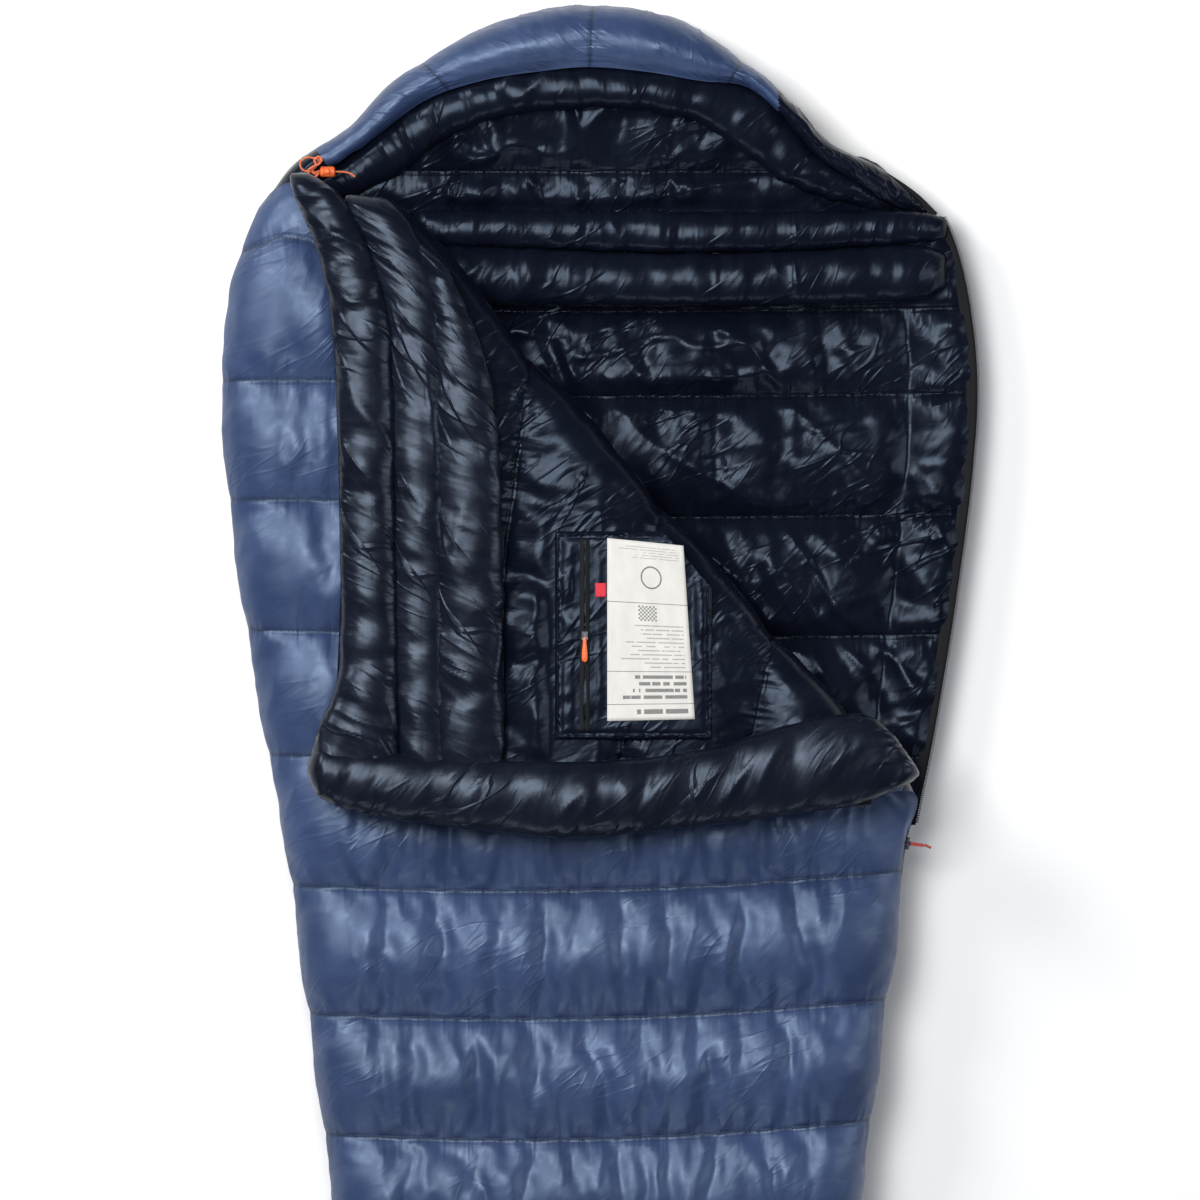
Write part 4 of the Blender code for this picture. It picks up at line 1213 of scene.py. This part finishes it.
class Tree:
    """A material's node tree, with a call for each kind of node used here."""

    def __init__(self, name, **sockets):
        self.material = bpy.data.materials.new(name)
        self.material.use_nodes = True
        self.nodes, self.links = self.material.node_tree.nodes, self.material.node_tree.links
        self.shader = self.nodes["Principled BSDF"]
        for key, value in sockets.items():
            self.set(self.shader.inputs[key.replace("_", " ").title().replace("Ior", "IOR")],
                     value)

    def set(self, socket, value):
        if isinstance(value, bpy.types.NodeSocket):
            self.links.new(value, socket)
        else:
            socket.default_value = value

    def node(self, kind, output=0, settings=(), **inputs):
        node = self.nodes.new(kind)
        for key, value in dict(settings).items():
            setattr(node, key, value)
        for key, value in inputs.items():
            self.set(node.inputs[key.replace("_", " ")], value)
        return node.outputs[output]

    def uv(self, layer):
        return self.node("ShaderNodeUVMap", settings={"uv_map": layer})

    def place(self):
        return self.node("ShaderNodeTexCoord", output="Object")

    def stretched(self, vector, scale, turn=0.0):
        """Turns a place, then scales it, so that a texture is drawn out at the angle turn."""
        return self.node("ShaderNodeMapping", settings={"vector_type": "TEXTURE"},
                         Vector=vector, Scale=[1 / value for value in scale],
                         Rotation=(0.0, 0.0, math.radians(turn)))

    def noise(self, vector, scale, detail=3.0, roughness=0.55, distortion=0.0):
        return self.node("ShaderNodeTexNoise", Vector=vector, Scale=scale, Detail=detail,
                         Roughness=roughness, Distortion=distortion)

    def spread(self, value, low, high, to_low=0.0, to_high=1.0):
        return self.node("ShaderNodeMapRange", Value=value, From_Min=low, From_Max=high,
                         To_Min=to_low, To_Max=to_high)

    def math(self, operation, a, b=0.0):
        node = self.nodes.new("ShaderNodeMath")
        node.operation = operation
        self.set(node.inputs[0], a)
        self.set(node.inputs[1], b)
        return node.outputs[0]

    def times(self, a, b):
        return self.math("MULTIPLY", a, b)

    def minus(self, a, b):
        return self.math("SUBTRACT", a, b)

    def above(self, a, b):
        return self.math("GREATER_THAN", a, b)

    def close(self, value, spot, reach):
        """1 where value is less than reach away from spot, 0 elsewhere."""
        return self.math("LESS_THAN", self.math("ABSOLUTE", self.minus(value, spot)), reach)

    def mix(self, share, a, b):
        node = self.nodes.new("ShaderNodeMix")
        node.data_type = "RGBA"
        self.set(node.inputs["Factor"], share)
        self.set(node.inputs[6], a if isinstance(a, bpy.types.NodeSocket) else (*a, 1.0))
        self.set(node.inputs[7], b if isinstance(b, bpy.types.NodeSocket) else (*b, 1.0))
        return node.outputs[2]

    def parts(self, vector):
        node = self.nodes.new("ShaderNodeSeparateXYZ")
        self.set(node.inputs[0], vector)
        return node.outputs

    def bump(self, height, distance, strength=1.0, under=None):
        node = self.nodes.new("ShaderNodeBump")
        self.set(node.inputs["Height"], height)
        node.inputs["Distance"].default_value = distance
        node.inputs["Strength"].default_value = strength
        if under is not None:
            self.set(node.inputs["Normal"], under)
        return node.outputs[0]

    def finish(self, color=None, roughness=None, normal=None):
        for key, value in (("Base Color", color), ("Roughness", roughness), ("Normal", normal)):
            if value is not None:
                self.set(self.shader.inputs[key], value)
        return self.material


THREAD_PERIOD = 0.0030
SEAM_HALF_WIDTH = 0.0009


def weave_height(tree, vector, period):
    """Fine over-and-under threads in both directions."""
    scale = 0.314 / period
    warp = tree.node("ShaderNodeTexWave", output="Fac", settings={"bands_direction": "X"},
                     Vector=vector, Scale=scale)
    weft = tree.node("ShaderNodeTexWave", output="Fac", settings={"bands_direction": "Y"},
                     Vector=vector, Scale=scale)
    return tree.times(warp, weft)


def nylon(name, dark, middle, light, rough, crinkle, sharp, tint, gloss):
    """Light down-proof nylon: glossy, softly creased, gathered along its sewn seams, and darkened
    beside them with painted shade.
    """
    tree = Tree(name, specular_ior_level=gloss, specular_tint=(*tint, 1.0))
    flat, seam = tree.uv("fabric"), tree.uv("seam")
    along, distance, _ = tree.parts(seam)
    broad = tree.noise(flat, 7.0, detail=2.0)
    tone = tree.mix(tree.spread(broad, 0.35, 0.65), dark, middle)
    streaks = tree.noise(tree.stretched(flat, (34.0, 9.0, 1.0)), 1.0, detail=3.0)
    tone = tree.mix(tree.spread(streaks, 0.52, 0.80, 0.0, 0.7), tone, light)
    thread = tree.spread(distance, SEAM_HALF_WIDTH, SEAM_HALF_WIDTH * 0.5)
    dash = tree.above(tree.math("FRACT", tree.math("DIVIDE", along, THREAD_PERIOD)), 0.30)
    stitch = tree.times(thread, dash)
    # groove_and_shade is 1 on a seam and 0 from 5 mm off it: the sunk groove in the bump, and
    # painted shade in the colour.
    groove_and_shade = tree.spread(distance, 0.0050, 0.0)
    # Painted shade: beside every seam the colour goes up to 60% of the way to 0.30 × dark, as if
    # shaded in the groove.
    color = tree.mix(tree.times(groove_and_shade, 0.60), tone, [c * 0.30 for c in dark])
    color = tree.mix(stitch, color, [c * 0.5 for c in dark])
    near = tree.spread(distance, 0.032, 0.002)
    gathers = tree.noise(tree.stretched(seam, (105.0, 17.0, 1.0)), 1.0, detail=1.0,
                         distortion=0.3)
    normal = tree.bump(weave_height(tree, flat, 0.0009), 0.00003, 0.30)
    for turn, wide, share in ((-58.0, 34.0, 1.2), (-30.0, 60.0, 0.55)):
        folds = tree.noise(tree.stretched(flat, (wide, wide * 0.25, 1.0), turn), 1.0, detail=2.0,
                           roughness=0.5, distortion=0.3)
        normal = tree.bump(folds, crinkle * share, 1.0, normal)
    patches = tree.spread(tree.noise(flat, 9.0, detail=1.0), 0.46, 0.62, 0.0, 1.0)
    for turn, fine in ((-66.0, 34.0), (-42.0, 46.0)):
        line = tree.noise(tree.stretched(flat, (fine, fine * 0.24, 1.0), turn), 1.0, detail=1.0,
                          roughness=0.4, distortion=0.45)
        ridge = tree.spread(tree.math("ABSOLUTE", tree.minus(line, 0.5)), 0.0, 0.045, 1.0, 0.0)
        normal = tree.bump(tree.times(ridge, patches), sharp, 1.0, normal)
    normal = tree.bump(tree.times(gathers, near), 0.0019, 1.0, normal)
    normal = tree.bump(tree.minus(stitch, groove_and_shade), 0.0006, 1.0, normal)
    smudge = tree.noise(flat, 60.0, detail=2.0)
    roughness = tree.spread(smudge, 0.3, 0.7, rough - 0.05, rough + 0.08)
    return tree.finish(color, roughness, normal)


def woven(name, color, lighter, rough, period, depth):
    """A woven tape or ribbon."""
    tree = Tree(name, specular_ior_level=0.25)
    flat = tree.uv("fabric")
    weave = weave_height(tree, tree.stretched(flat, (1.0, 1.0, 1.0), 45.0), period)
    tone = tree.mix(tree.spread(weave, 0.1, 0.9), color, lighter)
    tone = tree.mix(tree.spread(tree.noise(flat, 60.0), 0.4, 0.8, 0.0, 0.5), tone,
                    [c * 0.6 for c in color])
    fuzz = tree.noise(flat, 900.0, detail=2.0)
    normal = tree.bump(fuzz, depth * 0.5, 0.5, tree.bump(weave, depth, 0.8))
    return tree.finish(tone, tree.spread(fuzz, 0.3, 0.7, rough - 0.08, rough + 0.08), normal)


def braided(name, color, lighter):
    tree = Tree(name, sheen_weight=0.3, sheen_roughness=0.5)
    place = tree.place()
    waves = [tree.node("ShaderNodeTexWave", output="Fac", settings={"bands_direction": "X"},
                       Vector=tree.stretched(place, (1.0, 1.0, 1.0), turn), Scale=260.0)
             for turn in (35.0, -35.0)]
    braid = tree.math("MAXIMUM", *waves)
    tone = tree.mix(tree.spread(braid, 0.2, 0.9), [c * 0.45 for c in color], color)
    tone = tree.mix(tree.spread(tree.noise(place, 700.0), 0.5, 0.75), tone, lighter)
    return tree.finish(tone, tree.spread(braid, 0.0, 1.0, 0.75, 0.55),
                       tree.bump(braid, 0.00035, 0.9))


def moulded(name, color, darker, rough):
    """Moulded plastic: a fine grain, worn a little lighter and shinier in places."""
    tree = Tree(name, specular_ior_level=0.5)
    place = tree.place()
    wear = tree.spread(tree.noise(place, 260.0, detail=3.0), 0.42, 0.68)
    tone = tree.mix(wear, darker, color)
    fine = tree.noise(place, 2600.0, detail=2.0)
    return tree.finish(tone, tree.spread(wear, 0.0, 1.0, rough + 0.12, rough - 0.05),
                       tree.bump(fine, 0.00004, 0.6))


def metal(name, color, rough):
    """Painted zip metal, rubbed bright along worn patches."""
    tree = Tree(name, metallic=0.9)
    place = tree.place()
    rubbed = tree.spread(tree.noise(place, 420.0, detail=4.0), 0.50, 0.72)
    tone = tree.mix(rubbed, color, [min(1.0, c * 4.0) for c in color])
    scratches = tree.noise(tree.stretched(place, (1800.0, 160.0, 900.0)), 1.0, detail=2.0)
    return tree.finish(tone, tree.spread(rubbed, 0.0, 1.0, rough + 0.14, rough - 0.06),
                       tree.bump(scratches, 0.00003, 0.5))


def printed_label(name, color, ink):
    """White satin ribbon with plain grey bars, a ring and a chequer patch. No lettering."""
    tree = Tree(name, sheen_weight=0.2, sheen_roughness=0.4)
    uv = tree.uv("fabric")
    u, v, _ = tree.parts(uv)
    edge = 0.0
    for low, high, rows, thick in ((0.025, 0.070, 1.0, 0.30), (0.110, 0.260, 4.0, 0.26),
                                   (0.285, 0.540, 11.0, 0.15), (0.900, 0.975, 5.0, 0.13)):
        row = tree.spread(v, low, high, 0.0, rows)
        chance = tree.node("ShaderNodeTexWhiteNoise", settings={"noise_dimensions": "1D"},
                           W=tree.math("FLOOR", tree.math("ADD", row, rows * 7.0)))
        start = tree.spread(chance, 0.0, 1.0, 0.10, 0.52)
        line = tree.close(tree.math("FRACT", row), 0.5, thick)
        inside = tree.times(tree.above(v, low), tree.math("LESS_THAN", v, high))
        spot = tree.node("ShaderNodeCombineXYZ", X=tree.times(u, 16.0),
                         Y=tree.times(tree.math("FLOOR", row), 3.7))
        gaps = tree.above(tree.noise(spot, 1.0, detail=0.0), 0.37)
        span = tree.times(tree.above(u, start), tree.math("LESS_THAN", u, 0.93))
        line = tree.times(tree.times(line, inside), tree.times(gaps, span))
        edge = tree.math("MAXIMUM", edge, tree.times(line, 0.55 if rows > 4 else 0.85))
    for height in (0.090, 0.272, 0.655):
        edge = tree.math("MAXIMUM", edge, tree.times(tree.close(v, height, 0.0022), 0.8))
    across, up = tree.minus(u, 0.56), tree.minus(v, 0.800)
    radius = tree.math("SQRT", tree.math("ADD", tree.math("POWER", tree.times(across, 0.48), 2.0),
                                         tree.math("POWER", up, 2.0)))
    edge = tree.math("MAXIMUM", edge, tree.times(tree.close(radius, 0.060, 0.0045), 0.9))
    columns, rows = (tree.above(tree.math("FRACT", tree.times(value, count)), 0.5)
                     for value, count in ((u, 22.0), (v, 46.0)))
    cells = tree.math("ABSOLUTE", tree.minus(columns, rows))
    patch = tree.times(tree.close(u, 0.50, 0.114), tree.close(v, 0.598, 0.043))
    edge = tree.times(edge, tree.minus(1.0, patch))
    edge = tree.math("MAXIMUM", edge, tree.times(tree.times(patch, tree.above(cells, 0.5)), 0.85))
    soft = tree.noise(uv, 90.0, detail=2.0)
    ink_share = tree.times(edge, tree.spread(soft, 0.2, 0.6, 0.75, 1.0))
    tone = tree.mix(tree.spread(tree.noise(uv, 6.0), 0.3, 0.7), color, [c * 0.88 for c in color])
    tone = tree.mix(ink_share, tone, ink)
    weave = weave_height(tree, tree.place(), 0.0007)
    return tree.finish(tone, tree.spread(soft, 0.3, 0.7, 0.48, 0.62),
                       tree.bump(weave, 0.00005, 0.7))


def make_finishes():
    return {
        "shell": nylon("shell", (0.018, 0.033, 0.090), (0.027, 0.046, 0.118),
                       (0.042, 0.066, 0.158), 0.43, 0.0011, 0.00030, (0.60, 0.77, 1.0), 0.80),
        "lining": nylon("lining", (0.0026, 0.0036, 0.0085), (0.0042, 0.0058, 0.0125),
                        (0.0070, 0.0092, 0.0185), 0.25, 0.0017, 0.0007, (0.60, 0.76, 1.0), 0.17),
        # Painted light: "tube" is the lining fabric with base colours 20 to 30% lighter and more
        # gloss, a lit copy for the tubes on the flap.
        "tube": nylon("tube", (0.0034, 0.0046, 0.0098), (0.0056, 0.0074, 0.0145),
                      (0.0085, 0.0110, 0.0205), 0.28, 0.0017, 0.0007, (0.64, 0.78, 1.0), 0.26),
        "zip_tape": woven("zip_tape", (0.0030, 0.0034, 0.0050), (0.0075, 0.0080, 0.0110), 0.75,
                          0.0011, 0.00015),
        "zip_teeth": moulded("zip_teeth", (0.0100, 0.0105, 0.0130), (0.0045, 0.0050, 0.0060), 0.34),
        "slider_metal": metal("slider_metal", (0.055, 0.057, 0.065), 0.30),
        "cord_orange": braided("cord_orange", (0.720, 0.120, 0.030), (0.85, 0.30, 0.10)),
        "toggle_orange": moulded("toggle_orange", (0.840, 0.165, 0.035), (0.700, 0.110, 0.020),
                                 0.38),
        "pull_red": braided("pull_red", (0.480, 0.050, 0.050), (0.62, 0.12, 0.10)),
        "label_white": printed_label("label_white", (0.640, 0.625, 0.590), (0.060, 0.060, 0.065)),
        "tab_red": woven("tab_red", (0.600, 0.022, 0.045), (0.720, 0.060, 0.090), 0.55, 0.0008,
                         0.00010),
    }


# ---------------------------------------------------------------- studio

VIEW_WIDTH = 1.2696
VIEW_CENTRE = (0.0, 0.4433)
VIEW_HEIGHT = 0.06
CAMERA_DISTANCE = 8.0
SENSOR = 36.0
FLOOR_HALF = 14.0
WORLD_COLOR, WORLD_STRENGTH = (0.85, 0.92, 1.0, 1.0), 0.11
# place, target, size and power of each lamp
LAMPS = {"top": ((-0.6, 1.1, 3.0), (0.0, 0.30, 0.0), (1.3, 1.3), 82),
         "key": ((-2.6, 2.4, 2.4), (0.0, 0.4, 0.0), (1.3, 1.3), 88),
         "side": ((2.9, 0.6, 1.6), (0.0, 0.4, 0.0), (0.8, 2.2), 26),
         "front": ((-0.3, -2.9, 2.0), (0.0, 0.3, 0.0), (2.4, 0.9), 20)}


def build_camera():
    data = bpy.data.cameras.new("camera")
    data.sensor_width = SENSOR
    data.lens = SENSOR * CAMERA_DISTANCE / VIEW_WIDTH
    data.clip_start, data.clip_end = 0.1, 60.0
    camera = linked("camera", data)
    camera.location = (*VIEW_CENTRE, VIEW_HEIGHT + CAMERA_DISTANCE)
    bpy.context.scene.camera = camera


def area_light(name, place, target, size, power):
    data = bpy.data.lights.new(name, "AREA")
    data.shape = "RECTANGLE"
    data.size, data.size_y = size
    data.energy = power
    light = linked(name, data)
    light.location = place
    light.rotation_euler = (Vector(target) - Vector(place)).to_track_quat("-Z", "Y").to_euler()


def build_studio():
    scene = bpy.context.scene
    world = bpy.data.worlds.new("studio")
    world.use_nodes = True
    background = world.node_tree.nodes["Background"]
    background.inputs["Color"].default_value = WORLD_COLOR
    background.inputs["Strength"].default_value = WORLD_STRENGTH
    scene.world = world
    scene.view_settings.view_transform = "Standard"
    for name, settings in LAMPS.items():
        area_light(name, *settings)

    tree = Tree("floor_paper")
    place = tree.place()
    grain = tree.noise(place, 320.0, detail=3.0)
    tone = tree.mix(tree.spread(tree.noise(place, 1.2), 0.3, 0.7), (0.90, 0.90, 0.90),
                    (0.94, 0.94, 0.94))
    material = tree.finish(tone, tree.spread(grain, 0.3, 0.7, 0.80, 0.92),
                           tree.bump(grain, 0.00005, 0.3))
    mesh = bpy.data.meshes.new("floor")
    side = FLOOR_HALF
    mesh.from_pydata([(-side, -side, 0), (side, -side, 0), (side, side, 0), (-side, side, 0)], [],
                     [(0, 1, 2, 3)])
    mesh.materials.append(material)
    linked("floor", mesh)


def finish_cad_parts():
    """The CAD pieces that stay in view take the finish of their slot."""
    for node, finish in (("zip_slider", "slider_metal"), ("zip_pull", "pull_red"),
                         ("zip_bottom_stop", "slider_metal"), ("pocket_slider", "slider_metal"),
                         ("zip_pull_cord", "pull_red")):
        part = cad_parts[node]
        for slot in part.material_slots:
            slot.material = finishes[finish]


finishes = make_finishes()
build_camera()
build_cord()
build_studio()

front_quilt, flap_quilt, front_shell = build_front()
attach(front_quilt, "bag")
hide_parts("side_baffle_left", "side_baffle_right",
            *(f"front_panel_{number}" for number in range(1, 11)))
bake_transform(flap_quilt)
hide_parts(*(f"flap_panel_{number}" for number in range(1, 5)))

back_quilt = build_back(front_shell)
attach(back_quilt, "bag")
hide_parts(*(f"back_panel_{number}" for number in range(1, 8)))

build_flap_tubes()
build_back_tubes()
build_crown()
build_rim_roll()
build_hood_lining()
build_foot()
build_open_zip(up=(0, 0, 1))
build_closed_zip(up=(0, 0, 1))
build_pocket()
build_pocket_zip()
build_label()
build_tab()
build_cord_lock()
build_pocket_pull()
finish_cad_parts()
